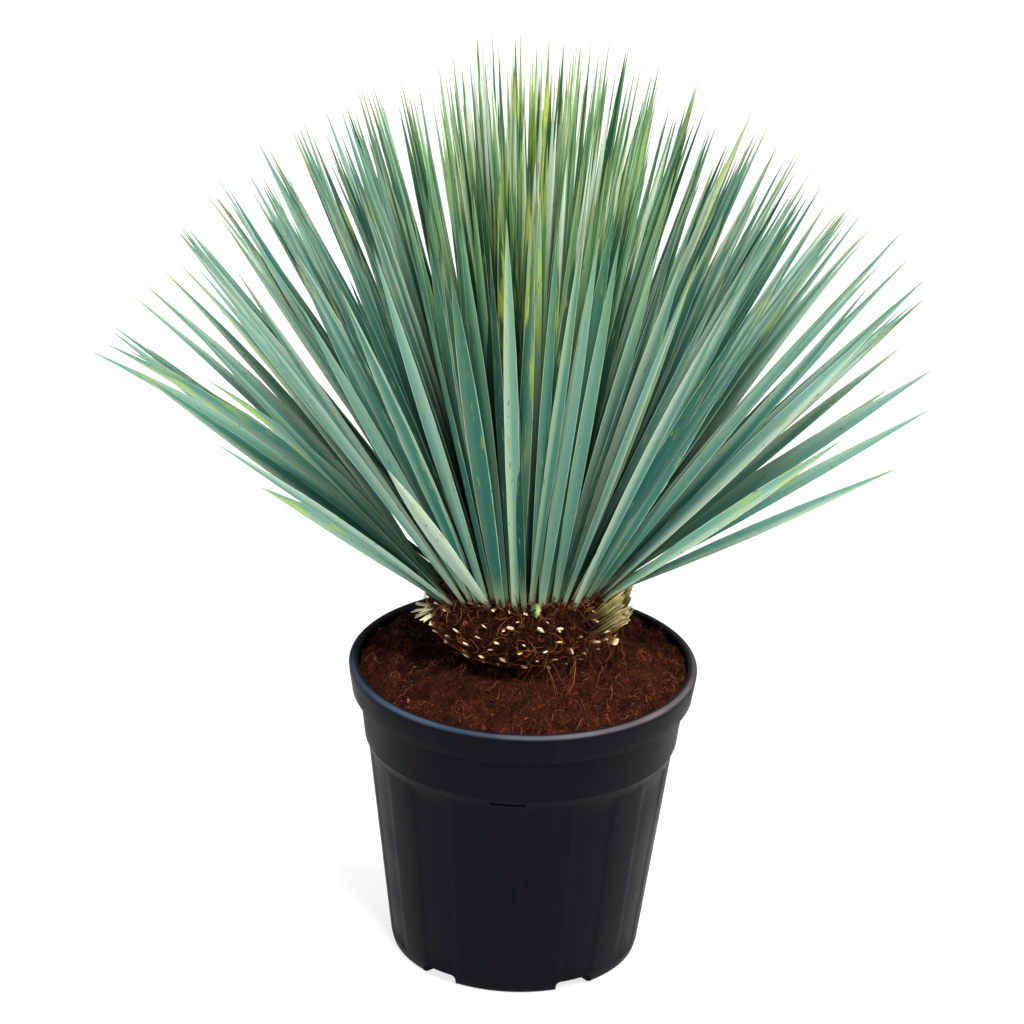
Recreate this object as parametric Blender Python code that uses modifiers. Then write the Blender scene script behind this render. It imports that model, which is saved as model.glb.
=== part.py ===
"""Beaked yucca standing in a black nursery pot: pot, soil, trunk and leaf head.

Metres, +Z up. The origin is the centre of the pot's base, on the surface that it stands on.
The front, where the lower leaves were trimmed away, faces -Y, and +X is to the right.
"""

import math
import random

import bmesh
import bpy
from mathutils import Matrix, Vector

# Pot, a moulded ten litre nursery container
POT_HEIGHT = 0.2505
RIM_RADIUS = 0.140
RIM_ROUND = 0.003
RIM_INNER_RADIUS = 0.1325
SKIRT_DROP = 0.0247
DRAFT = 0.1275
WALL = 0.0019
FOOT_RADIUS = 0.0999
FOOT_ROUND = 0.0050
COLLAR_BOTTOM = 0.187
COLLAR_RADIUS = 0.126
STEP_HEIGHT = 0.006
FLUTES = 11
FIRST_FLUTE = -2.5
FLUTE_DEPTH = 0.0007
FLUTE_BOTTOM = 0.010
FLUTE_TOP = 0.178
POT_SEGMENTS = 60

# Drain pockets round the base, open at the foot and stepped up inside the pot: two at the front
# stand a little further apart than the others
POCKETS = 6
FRONT_POCKETS = (-36.6, 30.0)
POCKET_WIDTH = 18.5
POCKET_HEIGHT = 0.009
POCKET_INNER_RADIUS = 0.074
DRAIN_RADIUS = 0.0045
DRAIN_PLACE = 0.086

# Soil
GAP = 0.0003
SOIL_SEGMENTS = 30
SOIL_RINGS = 6
SOIL_EDGE = 0.2435
SOIL_MOUND = 0.264
SOIL_WAVE = 0.0022

# Trunk, a swollen stump whose upper part is a sphere that the leaves grow from
TRUNK_FOOT = 0.196
TRUNK_FOOT_RADIUS = 0.041
NECK_HEIGHT = 0.2655
NECK_RADIUS = 0.046
CROWN_CENTRE = 0.250
CROWN_RADIUS = 0.096
TRUNK_SEGMENTS = 36
TRUNK_RINGS = (50, 44, 38, 30)
CROWN_SEGMENTS = 18
CROWN_RINGS = (44, 24)
LEAF_LINE = 0.303
LEAF_LINE_SLOPE = -0.25

# Stubs, the ends of leaves that were cut or fell
STUB_SEED = 5
STUB_ROWS = 6
LOWEST_STUBS = 0.2745
STUB_ROW_SPACING = 0.0093
STUBS_IN_ROW = 23
STUB_LENGTH = 0.011
STUB_RADIUS = 0.0031
# Broad leaf bases that a knife left on the right, all cut off along one upright line
FAN_AZIMUTHS = (42, 80)
FAN_BELOW_LEAF_LINE = (0.0045, 0.0095, 0.0145)
FAN_RISES = (36, 31, 26)
FAN_BASES = 5
FAN_REACH = 0.0815
FAN_WIDTH = 0.0092
# A tuft of narrow leaf bases on the left, some hanging down
TUFT_AZIMUTH = -71
TUFT_HEIGHT = 0.3025
TUFT_TURNS = (-34, -20, -6, 8, 22)
TUFT_LENGTH = 0.0175
TUFT_WIDTH = 0.0048

# Leaves
LEAF_SEED = 41
LEAF_SITES = 450
GOLDEN_ANGLE = 137.508
AIM_CENTRE = 0.258
# Largest polar angle of a leaf's root, by azimuth: least at the front, which was trimmed
LEAF_ZONE = ((-180, 53.0), (-130, 52.0), (-90, 49.0), (-60, 45.5), (-30, 38.5),
             (30, 38.5), (60, 42.0), (90, 44.5), (130, 50.0), (180, 53.0))
# Distance of the longest tips from the crown's centre, by how far they lean to the right, in
# degrees, seen from in front and tilted back
REACH = ((-90, 0.410), (-65, 0.425), (-50, 0.445), (-35, 0.465), (-22, 0.480), (-12, 0.485), (-7, 0.512),
         (6, 0.510), (16, 0.490), (30, 0.462), (38, 0.468), (48, 0.440), (62, 0.392), (90, 0.355))
TILT_BACK = 24
SHORTEST = 0.10
# How far the leaves of the front are raised towards upright
FRONT_RAISE = 0.36
ROOT_SCATTER = 0.8
LEAN_SCATTER = 1.8
TWIST_SCATTER = 24
BEND_SCATTER = 0.018
LEAF_WIDTH = 0.0136
ROOT_WIDTH = 0.42
LEAF_KEEL = 0.0021
ROOT_SINK = 0.006
ROOT_CLEARANCE = 0.0035
LEAF_STATIONS = (0.42, 0.80)
WIDEST_AT = 0.45
# Leaves placed one by one, low on the left and right: azimuth, elevation (degrees) and length
LOW_LEAVES = (
    (-90, 34.3, 0.339),
    (-84, 38.3, 0.340),
    (-97, 36.0, 0.322),
    (-104, 39.6, 0.336),
    (-76, 43.5, 0.276),
    (-71, 38.0, 0.240),
    (-64, 36.5, 0.199),
    (-36, 51.8, 0.205),
    (86, 35.3, 0.300),
    (79, 31.2, 0.264),
    (98, 37.5, 0.272),
    (69, 42.5, 0.258),
)


def srgb(red, green, blue):
    """A linear colour from 0-255 screen values."""
    def linear(value):
        share = value / 255
        return share / 12.92 if share <= 0.04045 else ((share + 0.055) / 1.055) ** 2.4
    return (linear(red), linear(green), linear(blue), 1.0)


def material(name, colour, roughness, metallic=0.0):
    made = bpy.data.materials.new(name)
    made.use_nodes = True
    made.diffuse_color = colour
    shader = made.node_tree.nodes["Principled BSDF"]
    shader.inputs["Base Color"].default_value = colour
    shader.inputs["Roughness"].default_value = roughness
    shader.inputs["Metallic"].default_value = metallic
    return made


def collection(name):
    made = bpy.data.collections.new(name)
    bpy.context.scene.collection.children.link(made)
    return made


def add_object(name, mesh, home, finish=None):
    made = bpy.data.objects.new(name, mesh)
    home.objects.link(made)
    if finish is not None:
        mesh.materials.append(finish)
    return made


def cutter(name, mesh, home):
    made = add_object(name, mesh, home)
    made.hide_render = True
    made.display_type = "WIRE"
    return made


def shade(mesh, angle=35):
    mesh.shade_smooth()
    mesh.set_sharp_from_angle(angle=math.radians(angle))


def frozen(thing):
    """The object's mesh with its modifiers applied, in place of the object's own."""
    bpy.context.view_layer.update()
    evaluated = thing.evaluated_get(bpy.context.evaluated_depsgraph_get())
    mesh = bpy.data.meshes.new_from_object(evaluated)
    thing.modifiers.clear()
    old = thing.data
    thing.data = mesh
    bpy.data.meshes.remove(old)
    return mesh


def turned(name, profile, segments, home, finish):
    """A solid of revolution. The profile runs from the axis to the axis, down its outer side."""
    mesh = bpy.data.meshes.new(name)
    points = [(radius, 0, height) for radius, height in profile]
    mesh.from_pydata(points, [(i, i + 1) for i in range(len(points) - 1)], [])
    made = add_object(name, mesh, home, finish)
    screw = made.modifiers.new("turn", "SCREW")
    screw.steps = segments
    screw.render_steps = segments
    screw.use_merge_vertices = True
    screw.merge_threshold = 0.00001
    return made


def wedges(name, section, middles, width, steps, home):
    """Blocks swept round the axis: the section is (radius, height) pairs, the angles are degrees."""
    shape = bmesh.new()
    for middle in middles:
        start = Matrix.Rotation(math.radians(middle - width / 2 - 90), 4, "Z")
        corners = [shape.verts.new(start @ Vector((radius, 0, height))) for radius, height in section]
        face = shape.faces.new(corners)
        bmesh.ops.spin(
            shape, geom=[face, *face.edges, *face.verts], cent=(0, 0, 0), axis=(0, 0, 1),
            angle=math.radians(width), steps=steps, use_duplicate=False,
        )
    bmesh.ops.recalc_face_normals(shape, faces=shape.faces)
    mesh = bpy.data.meshes.new(name)
    shape.to_mesh(mesh)
    shape.free()
    return cutter(name, mesh, home)


def cut(thing, tool, operation="DIFFERENCE"):
    change = thing.modifiers.new(operation.lower(), "BOOLEAN")
    change.object = tool
    change.operation = operation
    change.solver = "MANIFOLD"


def fuse(thing, repeats):
    """Unites every object of a collection with the thing in one step, then removes them."""
    join = thing.modifiers.new("join", "BOOLEAN")
    join.operand_type = "COLLECTION"
    join.collection = repeats
    join.operation = "UNION"
    join.solver = "MANIFOLD"
    frozen(thing)
    for repeat in list(repeats.objects):
        bpy.data.meshes.remove(repeat.data)
    bpy.data.collections.remove(repeats)


def wall_radius(height):
    """Outer radius of the pot's wall below its collar."""
    return FOOT_RADIUS + DRAFT * height


def collar_radius(height):
    """Outer radius of the wall from the collar up."""
    return COLLAR_RADIUS + DRAFT * (height - COLLAR_BOTTOM)


def pocket_middles():
    left, right = FRONT_POCKETS
    spacing = (360 - (right - left)) / (POCKETS - 1)
    return [left] + [right + spacing * i for i in range(POCKETS - 1)]


def pot(home, tools):
    step = COLLAR_BOTTOM - STEP_HEIGHT
    under_rim = POT_HEIGHT - WALL
    skirt_bottom = POT_HEIGHT - SKIRT_DROP
    skirt_foot = RIM_RADIUS - DRAFT * SKIRT_DROP
    floor_corner = FOOT_ROUND + WALL
    profile = [
        (0, WALL),
        (wall_radius(0) - WALL - FOOT_ROUND, WALL),
        (wall_radius(0) - WALL - FOOT_ROUND * 0.3, WALL + FOOT_ROUND * 0.3),
        (wall_radius(floor_corner) - WALL, floor_corner),
        (wall_radius(step) - WALL, step + WALL),
        (COLLAR_RADIUS - WALL, COLLAR_BOTTOM + WALL),
        (RIM_INNER_RADIUS, POT_HEIGHT - RIM_ROUND * 0.4),
        (RIM_INNER_RADIUS + RIM_ROUND * 0.4, POT_HEIGHT),
        (RIM_RADIUS - RIM_ROUND, POT_HEIGHT),
        (RIM_RADIUS - RIM_ROUND * 0.3, POT_HEIGHT - RIM_ROUND * 0.3),
        (RIM_RADIUS, POT_HEIGHT - RIM_ROUND),
        (skirt_foot, skirt_bottom),
        (skirt_foot - WALL, skirt_bottom),
        (RIM_RADIUS - RIM_ROUND - WALL * 0.5, under_rim),
        (collar_radius(under_rim), under_rim - WALL),
        (COLLAR_RADIUS, COLLAR_BOTTOM),
        (wall_radius(step), step),
        (wall_radius(FOOT_ROUND), FOOT_ROUND),
        (wall_radius(0) - FOOT_ROUND * 0.3, FOOT_ROUND * 0.3),
        (wall_radius(0) - FOOT_ROUND, 0),
        (0, 0),
    ]
    made = turned("pot", profile, POT_SEGMENTS, home, material("pot", srgb(30, 30, 34), 0.42))

    roof = POCKET_HEIGHT + WALL
    hidden = wall_radius(0) - WALL * 0.4
    roof_section = [
        (POCKET_INNER_RADIUS - WALL, WALL * 0.5),
        (hidden - FOOT_ROUND, WALL * 0.5),
        (hidden, FOOT_ROUND + WALL * 0.5),
        (hidden, roof),
        (POCKET_INNER_RADIUS - WALL, roof),
    ]
    roof_width = POCKET_WIDTH + 2 * math.degrees(WALL / DRAIN_PLACE)
    roofs = wedges("pocket_roofs", roof_section, pocket_middles(), roof_width, 4, tools)
    cut(made, roofs, "UNION")

    below = -0.002
    opening = wall_radius(0) + FOOT_ROUND
    pocket_section = [
        (POCKET_INNER_RADIUS, below), (opening, below),
        (opening, POCKET_HEIGHT), (POCKET_INNER_RADIUS, POCKET_HEIGHT),
    ]
    cut(made, wedges("pockets", pocket_section, pocket_middles(), POCKET_WIDTH, 4, tools))

    drains = bmesh.new()
    for middle in pocket_middles():
        turn = Matrix.Rotation(math.radians(middle - 90), 4, "Z")
        place = turn @ Matrix.Translation((DRAIN_PLACE, 0, POCKET_HEIGHT))
        bmesh.ops.create_cone(
            drains, cap_ends=True, segments=12, radius1=DRAIN_RADIUS, radius2=DRAIN_RADIUS,
            depth=0.008, matrix=place,
        )
    drain_mesh = bpy.data.meshes.new("drains")
    drains.to_mesh(drain_mesh)
    drains.free()
    cut(made, cutter("drains", drain_mesh, tools))

    outside = 0.006
    flute_section = [
        (wall_radius(FLUTE_BOTTOM) - FLUTE_DEPTH, FLUTE_BOTTOM),
        (wall_radius(FLUTE_BOTTOM) + outside, FLUTE_BOTTOM),
        (wall_radius(FLUTE_TOP) + outside, FLUTE_TOP),
        (wall_radius(FLUTE_TOP) - FLUTE_DEPTH, FLUTE_TOP),
    ]
    pitch = 360 / FLUTES
    middles = [FIRST_FLUTE + pitch * i for i in range(FLUTES)]
    cut(made, wedges("flutes", flute_section, middles, pitch / 2, 3, tools))
    shade(frozen(made))
    return made


def soil_height(x, y):
    """Height of the soil: a mound round the trunk, with a hollow on the left of it."""
    radius = math.hypot(x, y)
    edge = collar_radius(SOIL_EDGE) - WALL
    share = min(1, max(0, (radius - NECK_RADIUS) / (edge - NECK_RADIUS)))
    base = SOIL_MOUND + (SOIL_EDGE - SOIL_MOUND) * share ** 1.7
    fade = math.sin(math.pi * share)
    wave = math.sin(61 * x + 1.3) * math.sin(53 * y + 0.4) + 0.5 * math.sin(118 * x - 84 * y)
    hollow = math.exp(-((x + 0.077) ** 2 + (y + 0.010) ** 2) / 0.021 ** 2)
    heap = math.exp(-((x - 0.088) ** 2 + (y + 0.012) ** 2) / 0.030 ** 2)
    return base + fade * (SOIL_WAVE * wave - 0.0075 * hollow + 0.0060 * heap)


def soil(home, tools):
    edge = collar_radius(SOIL_EDGE) - WALL - GAP
    inner_step = COLLAR_BOTTOM - STEP_HEIGHT
    hole = NECK_RADIUS + GAP
    hole_floor = TRUNK_FOOT - GAP
    profile = [(0, hole_floor), (TRUNK_FOOT_RADIUS + GAP, hole_floor), (hole, SOIL_MOUND)]
    profile += [(hole + (edge - hole) * i / SOIL_RINGS, SOIL_EDGE) for i in range(1, SOIL_RINGS + 1)]
    profile += [
        (COLLAR_RADIUS - WALL - GAP, COLLAR_BOTTOM + WALL),
        (wall_radius(inner_step) - WALL - GAP, inner_step + WALL),
        (wall_radius(FOOT_ROUND) - WALL - GAP * 2, FOOT_ROUND + WALL + GAP),
        (wall_radius(0) - WALL - FOOT_ROUND, WALL + GAP),
        (0, WALL + GAP),
    ]
    made = turned("soil", profile, SOIL_SEGMENTS, home, material("soil", srgb(70, 38, 26), 0.95))
    mesh = frozen(made)
    for vertex in mesh.vertices:
        x, y, z = vertex.co
        if z > SOIL_EDGE - GAP and math.hypot(x, y) > hole - GAP:
            vertex.co.z = soil_height(x, y)

    top = POCKET_HEIGHT + WALL + GAP
    inner = POCKET_INNER_RADIUS - WALL - GAP
    section = [(inner, 0), (RIM_RADIUS, 0), (RIM_RADIUS, top), (inner, top)]
    width = POCKET_WIDTH + 2 * math.degrees((WALL + GAP) / inner)
    cut(made, wedges("soil_pockets", section, pocket_middles(), width, 4, tools))
    shade(frozen(made), 50)
    return made


def stump_profile(rings):
    """The stump's (radius, height), crown to foot, with rings at these polar angles."""
    sides = [
        (TRUNK_FOOT_RADIUS, TRUNK_FOOT), (NECK_RADIUS, NECK_HEIGHT), (0.057, 0.2705), (0.068, 0.279),
        (0.0755, 0.288), (0.079, 0.297), (0.0794, 0.304),
    ]
    for polar in rings:
        turn = math.radians(polar)
        sides.append((CROWN_RADIUS * math.sin(turn), CROWN_CENTRE + CROWN_RADIUS * math.cos(turn)))
    return [(0, CROWN_CENTRE + CROWN_RADIUS), *reversed(sides), (0, TRUNK_FOOT)]


def leaf_line(y):
    """Height of the sloping plane where the trunk ends and the leaf head begins."""
    return LEAF_LINE + LEAF_LINE_SLOPE * y


def stump(name, above, home, finish):
    """The stump's part above or below the leaf line, cut flat there and closed."""
    rings, segments = (CROWN_RINGS, CROWN_SEGMENTS) if above else (TRUNK_RINGS, TRUNK_SEGMENTS)
    made = turned(name, stump_profile(rings), segments, home, finish)
    mesh = frozen(made)
    shape = bmesh.new()
    shape.from_mesh(mesh)
    normal = Vector((0, -LEAF_LINE_SLOPE, 1)).normalized()
    shift = GAP / 2 if above else -GAP / 2
    bmesh.ops.bisect_plane(
        shape, geom=[*shape.verts, *shape.edges, *shape.faces],
        plane_co=Vector((0, 0, LEAF_LINE)) + normal * shift, plane_no=normal,
        clear_inner=above, clear_outer=not above,
    )
    rim = [edge for edge in shape.edges if edge.is_boundary]
    bmesh.ops.contextual_create(shape, geom=rim)
    bmesh.ops.triangulate(shape, faces=shape.faces)
    bmesh.ops.recalc_face_normals(shape, faces=shape.faces)
    shape.to_mesh(mesh)
    shape.free()
    return made


def stump_radius(height):
    """Radius of the stump at a height on its outer side."""
    sides = stump_profile(TRUNK_RINGS)
    for (upper, high), (lower, low) in zip(sides, sides[1:]):
        if low <= height <= high and high > low:
            return lower + (upper - lower) * (height - low) / (high - low)
    return 0.0


def outward(azimuth, elevation):
    """A direction: azimuth 0 is the front, -Y, and grows towards +X; both in degrees."""
    turn, rise = math.radians(azimuth), math.radians(elevation)
    return Vector((math.cos(rise) * math.sin(turn), -math.cos(rise) * math.cos(turn), math.sin(rise)))


def on_stump(azimuth, height):
    """The point of the stump's outer side at this azimuth and height."""
    return Vector((0, 0, height)) + outward(azimuth, 0) * stump_radius(height)


def stub_places():
    """Point on the stump and direction of each cut leaf base, in staggered rows."""
    draw = random.Random(STUB_SEED)
    for row in range(STUB_ROWS):
        for i in range(STUBS_IN_ROW):
            azimuth = 360 / STUBS_IN_ROW * (i + 0.38 * row) + draw.uniform(-3, 3)
            height = LOWEST_STUBS + STUB_ROW_SPACING * row + draw.uniform(-0.0018, 0.0018)
            rise = 8 + 6 * row + draw.uniform(-8, 8)
            size = draw.uniform(0.75, 1.15)
            point = on_stump(azimuth, height)
            if height < leaf_line(point.y) - 0.0045:
                yield point, outward(azimuth, rise), size


def fan_places():
    """Root, direction, length and width of the broad bases on the right."""
    draw = random.Random(STUB_SEED)
    first, last = FAN_AZIMUTHS
    for row, (below, rise) in enumerate(zip(FAN_BELOW_LEAF_LINE, FAN_RISES)):
        for i in range(FAN_BASES):
            azimuth = first + (last - first) * (i + 0.5 * (row % 2)) / (FAN_BASES - 0.5)
            level = leaf_line(on_stump(azimuth, LEAF_LINE).y)
            root = on_stump(azimuth, level - below)
            across = FAN_REACH + draw.uniform(-0.003, 0.001) - root.x
            length = max(STUB_LENGTH, across / outward(azimuth, rise).x)
            yield root, outward(azimuth, rise), length, FAN_WIDTH * draw.uniform(0.8, 1.1)


def tuft_places():
    """Root, direction, length and width of the narrow prongs on the left."""
    draw = random.Random(STUB_SEED)
    for i, turn in enumerate(TUFT_TURNS):
        root = on_stump(TUFT_AZIMUTH + turn * 0.15, TUFT_HEIGHT + 0.004 * (i % 2))
        rise = 30 * (i % 2) - 14 + draw.uniform(-6, 6)
        yield root, outward(TUFT_AZIMUTH + turn, rise), TUFT_LENGTH * draw.uniform(0.75, 1.0), TUFT_WIDTH


def base_mesh(name, length, width):
    """A cut leaf base along +Z: a flattened four-sided bar, blunt at its end, its foot sunk in."""
    shape = bmesh.new()
    whole = length + ROOT_SINK
    bmesh.ops.create_cone(
        shape, cap_ends=True, segments=4, radius1=width * 0.62, radius2=width * 0.5,
        depth=whole, matrix=Matrix.Translation((0, 0, whole / 2 - ROOT_SINK)),
    )
    bmesh.ops.scale(shape, verts=shape.verts, vec=(1, 0.34, 1))
    mesh = bpy.data.meshes.new(name)
    shape.to_mesh(mesh)
    shape.free()
    return mesh


def stub_mesh():
    """A short flattened four-sided peg along +Z from the origin, with its foot below it."""
    shape = bmesh.new()
    bmesh.ops.create_cone(
        shape, cap_ends=True, segments=4, radius1=STUB_RADIUS * 1.15, radius2=STUB_RADIUS * 0.7,
        depth=STUB_LENGTH, matrix=Matrix.Translation((0, 0, -STUB_LENGTH * 0.18)),
    )
    bmesh.ops.scale(shape, verts=shape.verts, vec=(1, 0.6, 1))
    mesh = bpy.data.meshes.new("stub")
    shape.to_mesh(mesh)
    shape.free()
    return mesh


def pointing(direction, place):
    """A matrix that sets +Z along the direction and X level, at the place."""
    ahead = direction.normalized()
    level = Vector((0, 0, 1)).cross(ahead).normalized()
    up = ahead.cross(level)
    turn = Matrix((level, up, ahead)).transposed().to_4x4()
    return Matrix.Translation(place) @ turn


def blade_mesh(name):
    """A leaf of unit length along +Z, flat on its upper face and keeled below, as a 3-sided spike."""
    shape = bmesh.new()
    bmesh.ops.create_cone(
        shape, cap_ends=True, segments=3, radius1=1, radius2=0, depth=1,
        matrix=Matrix.Translation((0, 0, 0.5)) @ Matrix.Rotation(math.pi, 4, "Z"),
    )
    bmesh.ops.remove_doubles(shape, verts=shape.verts, dist=0.0001)
    for station in LEAF_STATIONS:
        bmesh.ops.bisect_plane(
            shape, geom=[*shape.verts, *shape.edges, *shape.faces],
            plane_co=(0, 0, station), plane_no=(0, 0, 1),
        )
    bmesh.ops.triangulate(shape, faces=shape.faces)
    mesh = bpy.data.meshes.new(name)
    shape.to_mesh(mesh)
    shape.free()
    return mesh


def blade_width(share):
    """Share of the full width at a share of the leaf's length: a narrow root, a long taper."""
    if share < WIDEST_AT:
        return ROOT_WIDTH + (1 - ROOT_WIDTH) * math.sin(math.pi / 2 * share / WIDEST_AT)
    return max(0.0, math.cos(math.pi / 2 * ((share - WIDEST_AT) / (1 - WIDEST_AT)) ** 1.35)) ** 0.9


def keel_depth(share):
    """Share of the keel's full depth at a share of the leaf's length."""
    return min(1.0, 1.25 * (1 - share)) ** 0.7


def blade(name, master, leaf, home):
    """One leaf: the master's rings are set along its bent, twisted midline."""
    mesh = master.copy()
    whole = leaf["length"] + ROOT_SINK
    for vertex in mesh.vertices:
        share = vertex.co.z
        on_keel = abs(vertex.co.x) < 0.0001
        across = 0.0 if on_keel else math.copysign(leaf["width"] / 2 * blade_width(share), vertex.co.x)
        drop = -LEAF_KEEL * keel_depth(share) if on_keel else 0.0
        twist = leaf["twist"] * (0.4 + 0.6 * share)
        vertex.co.x = across * math.cos(twist) - drop * math.sin(twist)
        vertex.co.y = across * math.sin(twist) + drop * math.cos(twist) + leaf["bend"] * whole * share ** 2
        vertex.co.z = share * whole
    made = add_object(name, mesh, home)
    made.matrix_world = pointing(leaf["aim"], leaf["root"] - leaf["aim"] * ROOT_SINK)
    return made


def between(table, value):
    """The value looked up in a table of (place, result), evenly between its rows."""
    for (left, low), (right, high) in zip(table, table[1:]):
        if value <= right:
            return low + (high - low) * (value - left) / (right - left)


def leaf_zone(azimuth):
    """Largest polar angle of a leaf's root on the crown at this azimuth."""
    return between(LEAF_ZONE, (azimuth + 180) % 360 - 180)


def reach(aim):
    """Distance of the longest tips from the crown's centre along this aim."""
    back = math.radians(TILT_BACK)
    upward = aim.z * math.cos(back) + aim.y * math.sin(back)
    return between(REACH, math.degrees(math.atan2(aim.x, max(0.0, upward))))


def leaves():
    """Root, aim, length, width, twist and bend of each leaf, from the youngest outwards."""
    draw = random.Random(LEAF_SEED)
    made = []
    widest = 1 - math.cos(math.radians(max(polar for _, polar in LEAF_ZONE)))
    for i in range(LEAF_SITES):
        share = (i + 0.5) / LEAF_SITES
        polar = math.degrees(math.acos(1 - widest * share))
        azimuth = GOLDEN_ANGLE * i + draw.uniform(-1, 1) * ROOT_SCATTER / math.sin(math.radians(polar))
        polar += draw.uniform(-1, 1) * ROOT_SCATTER
        shortfall = SHORTEST * draw.random() ** 1.6
        width = LEAF_WIDTH * draw.uniform(0.68, 1.18)
        twist = math.radians(draw.gauss(0, TWIST_SCATTER))
        bend = draw.gauss(0, BEND_SCATTER)
        lean = (draw.gauss(0, LEAN_SCATTER), draw.gauss(0, LEAN_SCATTER))
        if polar > leaf_zone(azimuth):
            continue
        spot = outward(azimuth, 90 - polar) * CROWN_RADIUS
        root = spot + Vector((0, 0, CROWN_CENTRE))
        aim = (root - Vector((0, 0, AIM_CENTRE))).normalized()
        level = Vector((0, 0, 1)).cross(aim).normalized()
        front = max(0.0, math.cos(math.radians(azimuth))) ** 1.5
        aim = Matrix.Rotation(-FRONT_RAISE * front * aim.angle(Vector((0, 0, 1))), 3, level) @ aim
        aim = Matrix.Rotation(math.radians(lean[0]), 3, level) @ aim
        aim = Matrix.Rotation(math.radians(lean[1]), 3, aim.cross(level)) @ aim
        length = (reach(aim) - CROWN_RADIUS) * (1 - shortfall)
        made.append(dict(root=root, aim=aim, length=length, width=width, twist=twist, bend=bend))
    for azimuth, elevation, length in LOW_LEAVES:
        polar = leaf_zone(azimuth) + 0.8
        root = outward(azimuth, 90 - polar) * CROWN_RADIUS + Vector((0, 0, CROWN_CENTRE))
        aim = outward(azimuth, elevation)
        width = LEAF_WIDTH * (0.75 + 0.9 * (length - 0.2))
        made.append(dict(root=root, aim=aim, length=length, width=width, twist=0.25, bend=0.0))
    return made


def root_is_clear(leaf):
    """True where the whole root stays in the crown, above the leaf line."""
    foot = leaf["root"] - leaf["aim"] * ROOT_SINK
    return foot.z - leaf_line(foot.y) > ROOT_CLEARANCE


def trunk(home):
    made = stump("trunk", False, home, material("trunk", srgb(66, 38, 22), 0.9))
    stubs = collection("stubs")
    peg = stub_mesh()
    for i, (point, direction, size) in enumerate(stub_places()):
        stub = add_object(f"stub_{i}", peg.copy(), stubs)
        stub.matrix_world = pointing(direction, point) @ Matrix.Scale(size, 4)
    bpy.data.meshes.remove(peg)
    for i, (root, direction, length, width) in enumerate([*fan_places(), *tuft_places()]):
        base = add_object(f"base_{i}", base_mesh("base", length, width), stubs)
        base.matrix_world = pointing(direction, root)
    fuse(made, stubs)
    shade(made.data, 50)
    return made


def leaf_head(home):
    made = stump("leaf_head", True, home, material("leaves", srgb(104, 146, 134), 0.5))
    blades = collection("blades")
    master = blade_mesh("blade")
    kept = [leaf for leaf in leaves() if root_is_clear(leaf)]
    for i, leaf in enumerate(kept):
        blade(f"blade_{i}", master, leaf, blades)
    bpy.data.meshes.remove(master)
    fuse(made, blades)
    shade(made.data, 50)
    return made


def main():
    for thing in list(bpy.data.objects):
        bpy.data.objects.remove(thing)
    home = collection("beaked_yucca")
    tools = collection("cutters")
    pot(home, tools)
    soil(home, tools)
    trunk(home)
    leaf_head(home)


main()
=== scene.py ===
"""The looks of a beaked yucca in its nursery pot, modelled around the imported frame.

Metres, +Z up. The origin is the centre of the pot's base and the front faces -Y. An azimuth is
in degrees, 0 at the front and growing towards +X. A polar angle is measured from upright.
"""

import math
import random

import bmesh
import bpy
import numpy as np
from mathutils import Matrix, Vector, noise


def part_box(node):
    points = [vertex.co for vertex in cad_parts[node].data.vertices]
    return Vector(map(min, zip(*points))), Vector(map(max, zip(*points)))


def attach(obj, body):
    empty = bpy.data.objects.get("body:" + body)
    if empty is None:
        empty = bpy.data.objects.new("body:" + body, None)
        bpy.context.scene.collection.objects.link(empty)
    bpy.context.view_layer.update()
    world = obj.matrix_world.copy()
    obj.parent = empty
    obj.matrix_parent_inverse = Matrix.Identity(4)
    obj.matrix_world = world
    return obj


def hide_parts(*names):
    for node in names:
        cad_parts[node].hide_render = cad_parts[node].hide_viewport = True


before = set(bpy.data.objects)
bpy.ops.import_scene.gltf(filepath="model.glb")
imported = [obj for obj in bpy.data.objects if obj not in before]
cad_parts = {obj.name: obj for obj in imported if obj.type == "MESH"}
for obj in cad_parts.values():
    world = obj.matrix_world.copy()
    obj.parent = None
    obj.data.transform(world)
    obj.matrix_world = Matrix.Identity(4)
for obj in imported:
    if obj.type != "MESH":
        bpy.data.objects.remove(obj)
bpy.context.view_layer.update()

# Pot
POT_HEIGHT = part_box("pot")[1].z
RIM_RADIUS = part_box("pot")[1].x
RIM_ROUND = 0.003
RIM_INNER_RADIUS = 0.1325
SKIRT_DROP = 0.0247
DRAFT = 0.1275
WALL = 0.0019
FOOT_RADIUS = 0.0999
FOOT_ROUND = 0.0050
COLLAR_BOTTOM = 0.187
COLLAR_RADIUS = 0.126
STEP_HEIGHT = 0.006
FLUTES = 11
FIRST_FLUTE = -2.5
FLUTE_DEPTH = 0.0008
FLUTE_BOTTOM = 0.010
FLUTE_TOP = 0.178
POT_SEGMENTS = 264
FRONT_POCKETS = (-36.6, 30.0)
POCKETS = 6
POCKET_WIDTH = 18.5
POCKET_HEIGHT = 0.009
POCKET_INNER_RADIUS = 0.074
DRAIN_RADIUS = 0.0045
DRAIN_PLACE = 0.086
SLOT_HEIGHTS = (0.1822, 0.1840)
SLOT_PLACE = (-3.9, 13.4)
MOULD_MARKS = ((-13.2, 0.0975), (7.0, 0.0975))

# Soil
SOIL_EDGE = 0.2435
SOIL_MOUND = 0.264
SOIL_WAVE = 0.0022
SOIL_SEGMENTS = 220
SOIL_RINGS = 58
CRUMB_HEIGHT = 0.0026
FIBRES_ON_SOIL = 4200
CRUMBS = 500

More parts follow.
